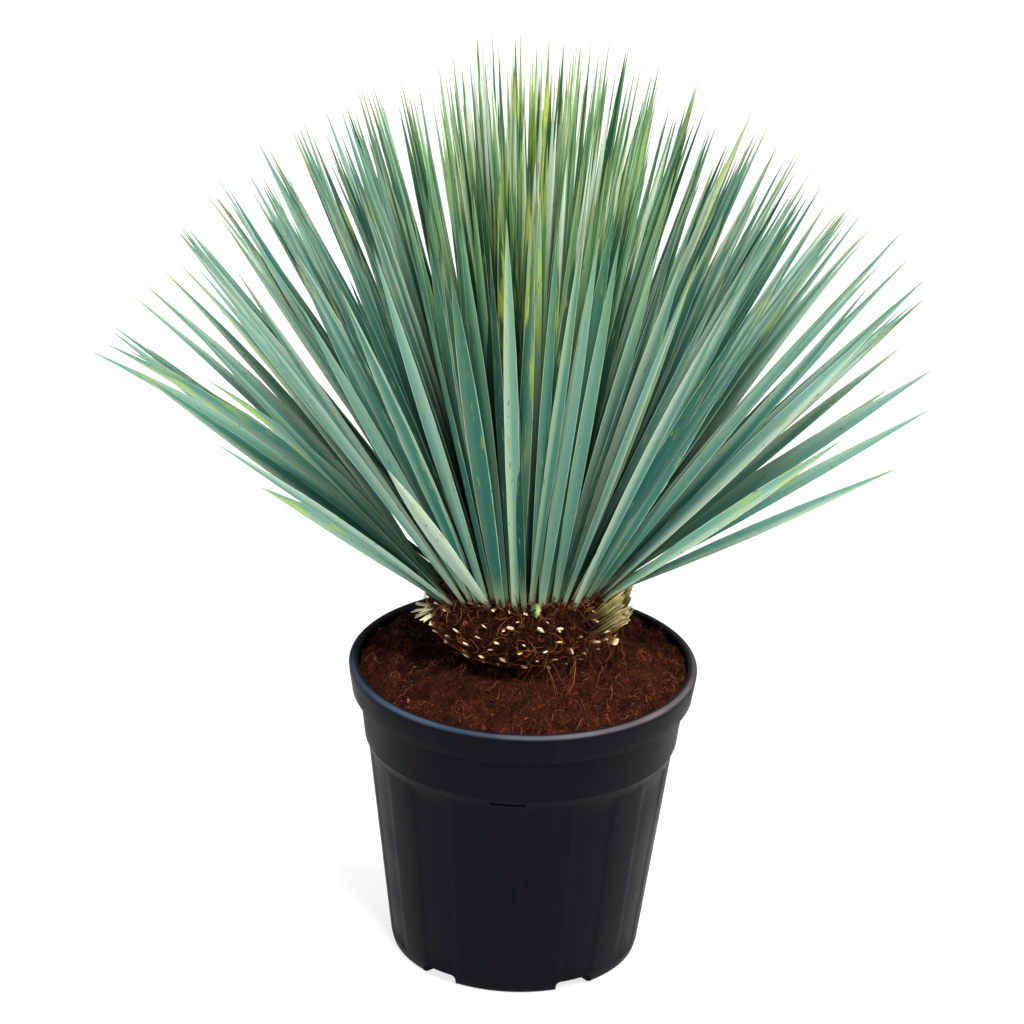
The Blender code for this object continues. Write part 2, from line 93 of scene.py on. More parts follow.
# Stump
TRUNK_FOOT = 0.196
TRUNK_FOOT_RADIUS = 0.041
NECK_HEIGHT = 0.2655
NECK_RADIUS = 0.046
CROWN_CENTRE = 0.250
CROWN_RADIUS = 0.096
LEAF_LINE = 0.303
LEAF_LINE_SLOPE = -0.25
STUMP_SEGMENTS = 168
STUB_SEED = 5
STUB_ROWS = 6
LOWEST_STUBS = 0.2745
STUB_ROW_SPACING = 0.0093
STUBS_IN_ROW = 23
FAN_AZIMUTHS = (42, 80)
FAN_BELOW_LEAF_LINE = (0.0045, 0.0095, 0.0145)
FAN_RISES = (46, 43, 41)
FAN_BASES = 6
FAN_REACH = 0.0770
FAN_WIDTH = 0.0058
TORN_AZIMUTH = 58
TORN_SHEETS = 6
TUFT_AZIMUTH = -71
TUFT_HEIGHT = 0.3025
TUFT_TURNS = (-34, -20, -6, 8, 22)
TUFT_LENGTH = 0.0145
TUFT_WIDTH = 0.0056
FIBRES_ON_STUMP = 2200
SCRAPS = 150
HANGING_FIBRES = 200
BUD_AZIMUTH = 8

# Leaves
LEAF_SEED = 41
LEAF_SITES = 450
GOLDEN_ANGLE = 137.508
AIM_CENTRE = 0.258
LEAF_ZONE = ((-180, 53.0), (-130, 52.0), (-90, 49.0), (-60, 45.5), (-30, 38.5),
             (30, 38.5), (60, 42.0), (90, 44.5), (130, 50.0), (180, 53.0))
REACH = ((-90, 0.410), (-65, 0.425), (-50, 0.445), (-35, 0.465), (-22, 0.480), (-12, 0.485), (-7, 0.512),
         (6, 0.510), (16, 0.490), (30, 0.462), (38, 0.468), (48, 0.440), (62, 0.392), (90, 0.355))
TILT_BACK = 24
SHORTEST = 0.10
FRONT_RAISE = 0.50
ROOT_SCATTER = 0.8
LEAN_SCATTER = 1.8
TWIST_SCATTER = 24
BEND_SCATTER = 0.018
LEAF_WIDTH = 0.0136
ROOT_WIDTH = 0.34
FRONT_ROOT_WIDTH = 0.47
LEAF_KEEL = 0.0021
ROOT_SINK = 0.006
ROOT_CLEARANCE = 0.0035
WIDEST_AT = 0.45
LEAF_STATIONS = (0.05, 0.13, 0.25, 0.38, 0.52, 0.66, 0.78, 0.87, 0.94, 0.98)
FILL_SEED = 77
FILL_SITES = 270
FILLED_LEAN = 36
TOP_SITES = 130
SIDE_THINNING = 0.35
THINNED_LEAN = 44
LOW_LEAVES = (
    # azimuth, root above the leaf line, elevation, length, width, tone and painted shade, gold, bend
    (-92, 0, 34.7, 0.328, 1.05, 0.58, 0.4, -0.20),
    (-86, 4, 37.8, 0.330, 1.10, 0.50, 0.6, -0.20),
    (-98, 3, 34.6, 0.305, 1.00, 0.46, 0.5, -0.18),
    (-104, 0, 34.6, 0.302, 0.70, 0.20, 0.1, -0.04),
    (-76, 0, 46.8, 0.269, 1.00, 0.76, 0.8, -0.20),
    (-60, 0, 40.2, 0.272, 0.62, 0.80, 0.3, -0.04),
    (-66, 0, 38.1, 0.198, 1.10, 0.76, 0.8, -0.10),
    (-96, 0, 43.2, 0.336, 0.80, 0.78, 0.1, -0.10),
    (-90, 0, 47.5, 0.340, 1.10, 0.58, 0.3, -0.12),
    (-100, 0, 47.5, 0.332, 0.90, 0.52, 0.4, -0.09),
    (-86, 0, 53.7, 0.343, 0.95, 0.80, 0.7, -0.12),
    (-94, 0, 55.2, 0.360, 0.90, 0.68, 0.3, -0.05),
    (-30, 0, 48.1, 0.234, 0.95, 1.00, 0.5, 0.02),
    (86, 0, 35.3, 0.300, 0.90, 0.66, 0.2, -0.02),
    (79, 0, 31.2, 0.264, 0.80, 0.62, 0.1, 0.0),
    (98, 0, 37.5, 0.272, 0.90, 0.66, 0.6, 0.0),
    (69, 0, 42.5, 0.258, 0.90, 0.72, 0.7, 0.0),
    (92, 0, 47.7, 0.339, 0.85, 0.58, 0.4, -0.05),
    (84, 0, 46.2, 0.315, 0.95, 0.62, 0.5, -0.05),
    (84, 0, 59.6, 0.364, 0.90, 0.86, 0.2, -0.10),
    (100, 0, 56.9, 0.358, 0.80, 0.78, 0.3, -0.14),
)
OPEN_WEDGES = (
    ((-0.217, 0.329), (-0.153, 0.243)),
    ((-0.174, 0.336), (-0.132, 0.266)),
    ((-0.159, 0.363), (-0.140, 0.327)),
    ((-0.115, 0.411), (-0.097, 0.344)),
    ((-0.085, 0.389), (-0.065, 0.332)),
    ((-0.269, 0.304), (-0.238, 0.273)),
    ((-0.277, 0.287), (-0.178, 0.201)),
    ((-0.284, 0.280), (-0.171, 0.183)),
    ((-0.258, 0.222), (-0.205, 0.188)),
    ((-0.257, 0.207), (-0.164, 0.149)),
    ((-0.189, 0.183), (-0.089, 0.104)),
    ((-0.160, 0.206), (-0.118, 0.159)),
    ((-0.319, 0.208), (-0.229, 0.156)),
    ((-0.304, 0.272), (-0.241, 0.225)),
    ((0.088, 0.398), (0.079, 0.366)),
    ((0.128, 0.379), (0.106, 0.325)),
    ((0.159, 0.370), (0.130, 0.304)),
    ((0.094, 0.317), (0.080, 0.271)),
    ((0.211, 0.334), (0.184, 0.305)),
    ((0.223, 0.324), (0.195, 0.281)),
    ((0.227, 0.278), (0.181, 0.245)),
    ((0.242, 0.257), (0.177, 0.195)),
    ((0.262, 0.248), (0.230, 0.222)),
    ((0.248, 0.223), (0.178, 0.167)),
    ((0.178, 0.212), (0.147, 0.174)),
    ((0.141, 0.187), (0.122, 0.165)),
    ((0.293, 0.237), (0.208, 0.178)),
    ((0.285, 0.344), (0.261, 0.318)),
)
SWINGS = (0, 1.2, -1.2, 2.4, -2.4, 3.6, -3.6, 4.8, -4.8)
TO_EYE = Vector((0, -0.913, 0.407))
FACING = 0.95


# Small helpers

def srgb(red, green, blue):
    """A linear colour from 0-255 screen values."""
    def linear(value):
        share = value / 255
        return share / 12.92 if share <= 0.04045 else ((share + 0.055) / 1.055) ** 2.4
    return (linear(red), linear(green), linear(blue), 1.0)


def focus(thing):
    """Makes one object the only selected one, and the active one."""
    bpy.ops.object.select_all(action="DESELECT")
    thing.select_set(True)
    bpy.context.view_layer.objects.active = thing


def added(name):
    """Names the primitive that has just been added."""
    thing = bpy.context.object
    thing.name = name
    thing.data.name = name
    return thing


def edit(thing, kind="VERT"):
    focus(thing)
    bpy.ops.object.mode_set(mode="EDIT")
    bpy.ops.mesh.select_mode(type=kind)


def leave_edit():
    bpy.ops.object.mode_set(mode="OBJECT")


def pick(thing, test):
    """In edit mode, selects the vertices whose place passes the test, and nothing else."""
    bpy.ops.mesh.select_all(action="DESELECT")
    shape = bmesh.from_edit_mesh(thing.data)
    for vertex in shape.verts:
        vertex.select = test(vertex.co)
    shape.select_flush_mode()
    bmesh.update_edit_mesh(thing.data)


def pick_edges(thing, test):
    """In edit mode, selects the edges whose two ends pass the test, and nothing else."""
    bpy.ops.mesh.select_mode(type="EDGE")
    bpy.ops.mesh.select_all(action="DESELECT")
    shape = bmesh.from_edit_mesh(thing.data)
    for edge in shape.edges:
        edge.select = test(edge.verts[0].co, edge.verts[1].co)
    bmesh.update_edit_mesh(thing.data)


def apply_modifiers(thing):
    focus(thing)
    for modifier in list(thing.modifiers):
        bpy.ops.object.modifier_apply(modifier=modifier.name)


def smooth(thing, angle=35):
    focus(thing)
    bpy.ops.object.shade_smooth_by_angle(angle=math.radians(angle))


def joined(name, parts):
    """All the copies as one object."""
    bpy.ops.object.select_all(action="DESELECT")
    for part in parts:
        part.select_set(True)
    bpy.context.view_layer.objects.active = parts[0]
    bpy.ops.object.join()
    return added(name)


def dress(piece, finish, slot, *nodes):
    """Gives a piece its finish and its place in the part."""
    piece.data.materials.clear()
    piece.data.materials.append(finish)
    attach(piece, "root")
    if nodes:
        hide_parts(*nodes)


def outward(azimuth, elevation):
    turn, rise = math.radians(azimuth), math.radians(elevation)
    return Vector((math.cos(rise) * math.sin(turn), -math.cos(rise) * math.cos(turn), math.sin(rise)))


def pointing(direction, place):
    """A matrix that sets +Z along the direction and X level, at the place."""
    ahead = direction.normalized()
    level = Vector((0, 0, 1)).cross(ahead).normalized()
    turn = Matrix((level, ahead.cross(level), ahead)).transposed().to_4x4()
    return Matrix.Translation(place) @ turn


def arc(radius, height, size, start, end, steps):
    """Profile points on a round corner, angles in degrees from level outwards."""
    turns = [math.radians(start + (end - start) * i / steps) for i in range(steps + 1)]
    return [(radius + size * math.cos(t), height + size * math.sin(t)) for t in turns]


def turned(name, profile, segments):
    """A body of revolution: a disc whose edge is extruded ring by ring along the profile."""
    radius, height = profile[0]
    bpy.ops.object.select_all(action="DESELECT")
    bpy.ops.mesh.primitive_circle_add(
        vertices=segments, radius=radius, fill_type="NGON", location=(0, 0, height))
    made = added(name)
    bpy.ops.object.transform_apply(location=True, rotation=True, scale=True)
    edit(made, "EDGE")
    bpy.ops.mesh.select_all(action="SELECT")
    for next_radius, next_height in profile[1:]:
        bpy.ops.mesh.extrude_edges_move(
            TRANSFORM_OT_translate={"value": (0, 0, next_height - height)})
        growth = next_radius / radius
        bpy.ops.transform.resize(value=(growth, growth, 1), center_override=(0, 0, 0))
        radius, height = next_radius, next_height
    bpy.ops.mesh.edge_face_add()
    bpy.ops.mesh.select_all(action="SELECT")
    bpy.ops.mesh.normals_make_consistent(inside=False)
    leave_edit()
    return made


# Shader helpers

def put(tree, kind, inputs=None, **settings):
    """Adds a node, sets its settings and feeds its inputs from sockets or plain values."""
    made = tree.nodes.new("ShaderNode" + kind)
    for key, value in settings.items():
        setattr(made, key, value)
    for key, value in (inputs or {}).items():
        if isinstance(value, bpy.types.NodeSocket):
            tree.links.new(value, made.inputs[key])
        else:
            made.inputs[key].default_value = value
    return made


def maths(tree, operation, first, second=0.0):
    return put(tree, "Math", {0: first, 1: second}, operation=operation).outputs[0]


def blend(tree, share, first, second, kind="MIX"):
    made = put(tree, "Mix", {0: share, 6: first, 7: second}, data_type="RGBA", blend_type=kind)
    return made.outputs[2]


def span(tree, value, low, high, start=0.0, end=1.0):
    """The value's place between low and high, eased, as a number from start to end."""
    made = put(tree, "MapRange", {0: value, 1: low, 2: high, 3: start, 4: end})
    made.interpolation_type = "SMOOTHSTEP"
    return made.outputs[0]


def stretched(tree, vector, scale, shift=(0, 0, 0)):
    made = put(tree, "Mapping", {"Vector": vector, "Scale": scale, "Location": shift})
    return made.outputs[0]


def cloud(tree, vector, scale, detail=3.0, roughness=0.5):
    made = put(tree, "TexNoise", {"Vector": vector, "Scale": scale, "Detail": detail, "Roughness": roughness})
    return made.outputs[0]


def new_finish(name, roughness=0.5, specular=0.5):
    """A material with only its Principled shader, whose even values are set on its own sockets."""
    made = bpy.data.materials.new(name)
    made.use_nodes = True
    shader = made.node_tree.nodes["Principled BSDF"]
    shader.inputs["Roughness"].default_value = roughness
    shader.inputs["Specular IOR Level"].default_value = specular
    return made, made.node_tree, shader


def new_group(name, inputs, outputs):
    """A shader node group. Inputs are name to (socket type, value), outputs are name to type."""
    group = bpy.data.node_groups.new(name, "ShaderNodeTree")
    for label, (kind, value) in inputs.items():
        socket = group.interface.new_socket(label, in_out="INPUT", socket_type="NodeSocket" + kind)
        if value is not None:
            socket.default_value = value
    for label, kind in outputs.items():
        group.interface.new_socket(label, in_out="OUTPUT", socket_type="NodeSocket" + kind)
    return group, group.nodes.new("NodeGroupInput"), group.nodes.new("NodeGroupOutput")


def use_group(tree, group, **values):
    made = tree.nodes.new("ShaderNodeGroup")
    made.node_tree = group
    for label, value in values.items():
        socket = made.inputs[label.replace("_", " ")]
        if isinstance(value, bpy.types.NodeSocket):
            tree.links.new(value, socket)
        else:
            socket.default_value = value
    return made.outputs


def mottle_group():
    """Two sizes of cloud for an uneven surface: a mask, and the bump that goes with it."""
    group, given, out = new_group(
        "mottle",
        {"Vector": ("Vector", None), "Coarse": ("Float", 40.0), "Fine": ("Float", 400.0),
         "Depth": ("Float", 0.001)},
        {"Patches": "Float", "Grain": "Float", "Normal": "Vector"},
    )
    coarse = cloud(group, given.outputs["Vector"], given.outputs["Coarse"], 3.0, 0.55)
    fine = cloud(group, given.outputs["Vector"], given.outputs["Fine"], 3.0, 0.6)
    height = maths(group, "ADD", maths(group, "MULTIPLY", coarse, 0.6), maths(group, "MULTIPLY", fine, 0.4))
    bump = put(group, "Bump", {"Distance": given.outputs["Depth"], "Height": height})
    group.links.new(span(group, coarse, 0.3, 0.7), out.inputs["Patches"])
    group.links.new(span(group, fine, 0.3, 0.7), out.inputs["Grain"])
    group.links.new(bump.outputs[0], out.inputs["Normal"])
    return group


# Pot

def wall_radius(height):
    """Outer radius of the pot's wall below its collar."""
    return FOOT_RADIUS + DRAFT * height


def collar_radius(height):
    """Outer radius of the wall from the collar up."""
    return COLLAR_RADIUS + DRAFT * (height - COLLAR_BOTTOM)


def pocket_middles():
    left, right = FRONT_POCKETS
    spacing = (360 - (right - left)) / (POCKETS - 1)
    return [left] + [right + spacing * i for i in range(POCKETS - 1)]


def ring_block(name, radii, heights, middle, width, rounding=0.0):
    """A block swept round the axis: an upright plane spun through the width, its upper ends rounded."""
    inner, outer = radii
    low, high = heights
    bpy.ops.object.select_all(action="DESELECT")
    bpy.ops.mesh.primitive_plane_add(size=1, location=((inner + outer) / 2, 0, (low + high) / 2),
                                     rotation=(math.pi / 2, 0, 0))
    made = added(name)
    made.scale = (outer - inner, high - low, 1)
    bpy.ops.object.transform_apply(location=True, rotation=True, scale=True)
    made.rotation_euler.z = math.radians(middle + width / 2 - 90)
    bpy.ops.object.transform_apply(location=False, rotation=True, scale=False)
    edit(made, "FACE")
    bpy.ops.mesh.select_all(action="SELECT")
    bpy.ops.mesh.spin(steps=6, angle=math.radians(width), center=(0, 0, 0), axis=(0, 0, 1))
    bpy.ops.mesh.select_all(action="SELECT")
    bpy.ops.mesh.remove_doubles(threshold=0.00001)
    bpy.ops.mesh.normals_make_consistent(inside=False)
    if rounding:
        first, last = outward(middle - width / 2, 0), outward(middle + width / 2, 0)
        pick_edges(made, lambda a, b: min(a.z, b.z) > high - 0.00001 and any(
            max(abs(a.cross(end).z), abs(b.cross(end).z)) < 0.0001 for end in (first, last)))
        bpy.ops.mesh.bevel(offset=rounding, segments=4, profile=0.5)
    leave_edit()
    return made


def combine(thing, tool, operation):
    change = thing.modifiers.new(operation.lower(), "BOOLEAN")
    change.object = tool
    change.operation = operation
    change.solver = "MANIFOLD"
    apply_modifiers(thing)
    bpy.data.objects.remove(tool)


def flute_dip(azimuth, height):
    """How far the wall is sunk here: shallow upright panels with soft edges."""
    pitch = 360 / FLUTES
    off = abs((azimuth - FIRST_FLUTE + pitch / 2) % pitch - pitch / 2)
    side = min(1, max(0, (pitch / 4 - off) / 0.9 + 0.5))
    end = min(1, max(0, (height - FLUTE_BOTTOM) / 0.0015), max(0, (FLUTE_TOP - height) / 0.0015))
    return FLUTE_DEPTH * side * side * (3 - 2 * side) * end


def pot_profile():
    step = COLLAR_BOTTOM - STEP_HEIGHT
    skirt_bottom = POT_HEIGHT - SKIRT_DROP
    skirt_foot = RIM_RADIUS - DRAFT * SKIRT_DROP
    under_rim = POT_HEIGHT - WALL
    lip = RIM_ROUND * 0.4
    heights = [FLUTE_BOTTOM - 0.001 + 0.0008 * i for i in range(4)]
    heights += [FLUTE_BOTTOM + 0.012 * i for i in range(1, 14)]
    heights += [FLUTE_TOP - 0.0015 + 0.0008 * i for i in range(3)]
    outer = arc(wall_radius(0) - FOOT_ROUND, FOOT_ROUND, FOOT_ROUND, -90, -7, 5)
    outer += [(wall_radius(height), height) for height in heights]
    outer += [(wall_radius(step) + 0.0001, step), (wall_radius(step) + 0.0006, step + 0.0006)]
    outer += [(COLLAR_RADIUS - 0.0006, COLLAR_BOTTOM - 0.0006), (COLLAR_RADIUS, COLLAR_BOTTOM)]
    outer += [(collar_radius(height), height) for height in (0.200, 0.212, 0.224, 0.236)]
    outer += [(collar_radius(under_rim), under_rim - WALL)]
    skirt = [(RIM_RADIUS - RIM_ROUND - WALL * 0.5, under_rim - WALL * 0.5), (skirt_foot - WALL, skirt_bottom + 0.0004)]
    skirt += arc(skirt_foot - WALL / 2, skirt_bottom + WALL / 2, WALL / 2, -150, -10, 4)
    skirt += [(skirt_foot + 0.0012, skirt_bottom + 0.009), (RIM_RADIUS - 0.0006, POT_HEIGHT - 0.008)]
    rim = arc(RIM_RADIUS - RIM_ROUND, POT_HEIGHT - RIM_ROUND, RIM_ROUND, 5, 90, 6)
    rim += arc(RIM_INNER_RADIUS + lip, POT_HEIGHT - lip, lip, 90, 180, 3)
    inner = [(COLLAR_RADIUS - WALL, COLLAR_BOTTOM + WALL), (wall_radius(step) - WALL, step + WALL)]
    inner += [(wall_radius(height) - WALL, height) for height in (0.13, 0.08, 0.04, FOOT_ROUND + WALL)]
    inner += [(wall_radius(0) - WALL - FOOT_ROUND * 0.3, WALL + FOOT_ROUND * 0.3)]
    inner += [(wall_radius(0) - WALL - FOOT_ROUND, WALL), (POCKET_INNER_RADIUS * 0.5, WALL)]
    return [(POCKET_INNER_RADIUS * 0.5, 0), *outer, *skirt, *rim, *inner]


def nursery_pot():
    made = turned("nursery_pot", pot_profile(), POT_SEGMENTS)
    for vertex in made.data.vertices:
        x, y, z = vertex.co
        radius = math.hypot(x, y)
        if radius > wall_radius(z) - 0.0005 and FLUTE_BOTTOM < z < FLUTE_TOP:
            share = 1 - flute_dip(math.degrees(math.atan2(x, -y)), z) / radius
            vertex.co.x, vertex.co.y = x * share, y * share

    low, high = SLOT_HEIGHTS
    groove = ring_block("groove", (wall_radius(low) - 0.0012, COLLAR_RADIUS + 0.002), (low, high), *SLOT_PLACE)
    combine(made, groove, "DIFFERENCE")
    for azimuth, height in MOULD_MARKS:
        place = outward(azimuth, 0) * (wall_radius(height) - 0.0004) + Vector((0, 0, height))
        bpy.ops.object.select_all(action="DESELECT")
        bpy.ops.mesh.primitive_uv_sphere_add(segments=12, ring_count=8, radius=0.0011, location=place)
        combine(made, added("mould_mark"), "UNION")

    roof = POCKET_HEIGHT + WALL
    hidden = wall_radius(0) - WALL * 0.6
    roof_width = POCKET_WIDTH + 2 * math.degrees(WALL / DRAIN_PLACE)
    for middle in pocket_middles():
        block = ring_block("roof", (POCKET_INNER_RADIUS - WALL, hidden), (WALL * 0.7, roof), middle, roof_width)
        combine(made, block, "UNION")
        opening = (POCKET_INNER_RADIUS, wall_radius(0) + FOOT_ROUND)
        block = ring_block("pocket", opening, (-0.002, POCKET_HEIGHT), middle, POCKET_WIDTH, 0.0035)
        combine(made, block, "DIFFERENCE")
        place = outward(middle, 0) * DRAIN_PLACE
        bpy.ops.object.select_all(action="DESELECT")
        bpy.ops.mesh.primitive_cylinder_add(vertices=24, radius=DRAIN_RADIUS, depth=0.008,
                                            location=(place.x, place.y, POCKET_HEIGHT))
        combine(made, added("drain"), "DIFFERENCE")
    smooth(made, 32)
    return made


def pot_finish():
    """Blue-black moulded plastic: faint upright lines of dust, and a rim paled by dust and a painted highlight."""
    made, tree, shader = new_finish("pot_plastic", 0.5, 0.045)
    place = put(tree, "TexCoord").outputs["Object"]
    parts = put(tree, "SeparateXYZ", {0: place}).outputs
    rough = use_group(tree, MOTTLE, Vector=place, Coarse=22.0, Fine=900.0, Depth=0.00006)
    streaks = cloud(tree, stretched(tree, place, (1, 1, 0.05)), 140.0, 4.0, 0.6)
    wide = cloud(tree, stretched(tree, place, (1, 1, 0.25)), 16.0, 2.0, 0.5)
    dust = maths(tree, "MULTIPLY", span(tree, streaks, 0.5, 0.75), span(tree, wide, 0.42, 0.66))
    specks = span(tree, cloud(tree, place, 420.0, 1.0), 0.78, 0.82)
    flat = put(tree, "CombineXYZ", {0: parts["X"], 1: parts["Y"]}).outputs[0]
    radius = put(tree, "VectorMath", {0: flat}, operation="LENGTH").outputs["Value"]
    # Painted highlight, with some dust, on top of the rim: brighter outwards and at the front, with a painted
    # reflection that is bluish on the left and warm on the right.
    on_top = span(tree, parts["Z"], POT_HEIGHT - 0.0030, POT_HEIGHT - 0.0002)
    high = maths(tree, "MULTIPLY", on_top, span(tree, radius, 0.1343, 0.1372, 0.08, 1.0))
    front = span(tree, parts["Y"], 0.05, -0.13, 0.35, 1.0)
    rim_dust_and_highlight = maths(tree, "MULTIPLY", high, maths(tree, "MULTIPLY", front, span(tree, wide, 0.3, 0.7, 0.5, 1.0)))
    colour = blend(tree, rough["Patches"], srgb(4, 5, 10), srgb(8, 8, 14))
    colour = blend(tree, maths(tree, "MULTIPLY", dust, 0.03), colour, srgb(70, 69, 73))
    colour = blend(tree, maths(tree, "MULTIPLY", specks, 0.08), colour, srgb(120, 110, 100))
    rim_reflection_tint = blend(tree, span(tree, parts["X"], -0.05, 0.09), srgb(84, 98, 122), srgb(130, 124, 128))
    colour = blend(tree, maths(tree, "MULTIPLY", rim_dust_and_highlight, 0.48), colour, rim_reflection_tint)
    sheen = maths(tree, "ADD", span(tree, rough["Patches"], 0, 1, 0.44, 0.52), maths(tree, "MULTIPLY", dust, 0.1))
    tree.links.new(colour, shader.inputs["Base Color"])
    tree.links.new(sheen, shader.inputs["Roughness"])
    tree.links.new(rough["Normal"], shader.inputs["Normal"])
    return made


# Soil

def soil_height(x, y):
    """Height of the soil: a mound round the trunk, hollow on its left and higher up the wall at the back."""
    radius = math.hypot(x, y)
    edge = collar_radius(SOIL_EDGE) - WALL
    share = min(1, max(0, (radius - NECK_RADIUS) / (edge - NECK_RADIUS)))
    base = SOIL_MOUND + (SOIL_EDGE - SOIL_MOUND) * share ** 1.7
    fade = math.sin(math.pi * share)
    wave = math.sin(61 * x + 1.3) * math.sin(53 * y + 0.4) + 0.5 * math.sin(118 * x - 84 * y)
    hollow = math.exp(-((x + 0.077) ** 2 + (y + 0.010) ** 2) / 0.021 ** 2)
    heap = math.exp(-((x - 0.088) ** 2 + (y + 0.012) ** 2) / 0.030 ** 2)
    bank = math.exp(-((x - 0.026) ** 2 + (y + 0.052) ** 2) / 0.030 ** 2)
    packed = smooth_share(share, 0.55, 1.0) * smooth_share(y, -0.03, 0.07)
    return base + 0.0042 * packed + fade * (SOIL_WAVE * wave - 0.0075 * hollow + 0.0060 * heap + 0.0080 * bank)


def soil_top(x, y):
    """The soil's height with its lumps and crumbs."""
    lumps = noise.noise(Vector((x, y, 0.0)) * 95) * 2.3
    crumbs = noise.turbulence(Vector((x, y, 0.3)) * 230, 3, False)
    return soil_height(x, y) + CRUMB_HEIGHT * (lumps + crumbs - 0.5)


def compost():
    edge = collar_radius(SOIL_EDGE) - WALL - 0.0003
    step = COLLAR_BOTTOM - STEP_HEIGHT
    hole = NECK_RADIUS + 0.0003
    below = FOOT_ROUND + 2 * WALL
    roof_clear = POCKET_HEIGHT + 2 * WALL
    profile = [(wall_radius(0) - WALL - FOOT_ROUND * 2, roof_clear)]
    profile += [(wall_radius(below) - WALL * 1.5, roof_clear + 0.002)]
    profile += [(wall_radius(step) - WALL * 1.2, step + WALL), (COLLAR_RADIUS - WALL * 1.2, COLLAR_BOTTOM + WALL)]
    profile += [(edge + (hole - edge) * i / SOIL_RINGS, SOIL_EDGE) for i in range(SOIL_RINGS + 1)]
    profile += [(TRUNK_FOOT_RADIUS + 0.0003, TRUNK_FOOT - 0.0003)]
    made = turned("compost", profile, SOIL_SEGMENTS)
    for vertex in made.data.vertices:
        x, y, z = vertex.co
        if abs(z - SOIL_EDGE) < 0.0001:
            vertex.co.z = soil_top(x, y)
    smooth(made, 60)
    return made


def crumb_master():
    bpy.ops.object.select_all(action="DESELECT")
    bpy.ops.mesh.primitive_ico_sphere_add(subdivisions=1, radius=1)
    return added("crumb")


def crumbs():
    """Loose crumbs and chips of bark on the soil, each turned and squashed its own way."""
    draw = random.Random(23)
    master = crumb_master()
    corners = [vertex.co.copy() for vertex in master.data.vertices]
    made = []
    for i in range(CRUMBS):
        azimuth = draw.uniform(0, 360)
        radius = math.sqrt(draw.uniform(0.050 ** 2, 0.128 ** 2))
        spot = outward(azimuth, 0) * radius
        size = 0.0007 + 0.0013 * draw.random() ** 3
        turn = Matrix.Rotation(draw.uniform(0, math.tau), 3, draw_axis(draw))
        squash = Vector((draw.uniform(0.8, 1.9), draw.uniform(0.6, 1.1), draw.uniform(0.4, 0.9)))
        middle = Vector((spot.x, spot.y, soil_top(spot.x, spot.y) + size * 0.25))
        places = [middle + turn @ (corner * draw.uniform(0.8, 1.2) * size * squash) for corner in corners]
        made.append(copied(master, f"crumb_{i}", places, shade=draw.random()))
    bpy.data.objects.remove(master)
    return joined("compost_crumbs", made)


def draw_axis(draw):
    """A random direction."""
    return Vector((draw.gauss(0, 1), draw.gauss(0, 1), draw.gauss(0, 1))).normalized()


def copied(master, name, places, **values):
    """A copy of the master with its own mesh: vertices at these places, and even attributes."""
    mesh = master.data.copy()
    mesh.vertices.foreach_set("co", [value for place in places for value in place])
    for label, value in values.items():
        layer = mesh.attributes.new(label, "FLOAT", "POINT")
        layer.data.foreach_set("value", [value] * len(mesh.vertices))
    made = bpy.data.objects.new(name, mesh)
    bpy.context.scene.collection.objects.link(made)
    return made


def strand_master(steps):
    """A three-sided strand of unit length and radius, open at neither end."""
    bpy.ops.object.select_all(action="DESELECT")
    bpy.ops.mesh.primitive_cylinder_add(vertices=3, radius=1, depth=1, location=(0, 0, 0.5))
    made = added("strand")
    bpy.ops.object.transform_apply(location=True, rotation=True, scale=True)
    edit(made)
    for i in range(1, steps):
        bpy.ops.mesh.select_all(action="SELECT")
        bpy.ops.mesh.bisect(plane_co=(0, 0, i / steps), plane_no=(0, 0, 1))
    leave_edit()
    return made


def along(master, path, radius):
    """The master strand's vertices laid along a path of points, thinner at both ends."""
    steps = len(path) - 1
    frames = []
    for i in range(steps + 1):
        ahead = (path[min(i + 1, steps)] - path[max(i - 1, 0)]).normalized()
        side = ahead.cross(Vector((0.3, 0.1, 1))).normalized()
        frames.append((side, ahead.cross(side)))
    places = []
    for vertex in master.data.vertices:
        i = round(vertex.co.z * steps)
        side, up = frames[i]
        size = radius * (0.45 if i in (0, steps) else 1.0)
        places.append(path[i] + (side * vertex.co.x + up * vertex.co.y) * size)
    return places


def curl(draw, steps, length, bend, wobble):
    """Points of a curly line in its own plane, from the origin: a heading that keeps turning."""
    heading = draw.uniform(0, math.tau)
    turn = draw.gauss(0, bend) / steps
    x = y = 0.0
    points = [(0.0, 0.0)]
    for _ in range(steps):
        heading += turn + draw.gauss(0, wobble)
        x += math.cos(heading) * length / steps
        y += math.sin(heading) * length / steps
        points.append((x, y))
    return points


def compost_fibres():
    """Coir fibres that lie on the soil and hump over each other."""
    draw = random.Random(31)
    steps = 5
    master = strand_master(steps)
    made = []
    for i in range(FIBRES_ON_SOIL):
        spot = outward(draw.uniform(0, 360), 0) * math.sqrt(draw.uniform(0.046 ** 2, 0.131 ** 2))
        length = draw.uniform(0.004, 0.016)
        lift = draw.uniform(0.0003, 0.0020)
        radius = draw.uniform(0.00008, 0.00018)
        path = []
        for share, (x, y) in enumerate(curl(draw, steps, length, 1.7, 0.20)):
            px, py = spot.x + x, spot.y + y
            out = math.hypot(px, py)
            inside = min(1, 0.1325 / out)
            px, py = px * inside, py * inside
            hump = math.sin(math.pi * share / steps) * lift
            path.append(Vector((px, py, soil_top(px, py) + hump)))
        lit = smooth_share(noise.noise(Vector((spot.x, spot.y, 0.0)) * 95), -0.35, 0.2)
        shade = draw.random() * (0.3 + 0.7 * lit)
        made.append(copied(master, f"fibre_{i}", along(master, path, radius), shade=shade))
    bpy.data.objects.remove(master)
    return joined("compost_fibres", made)


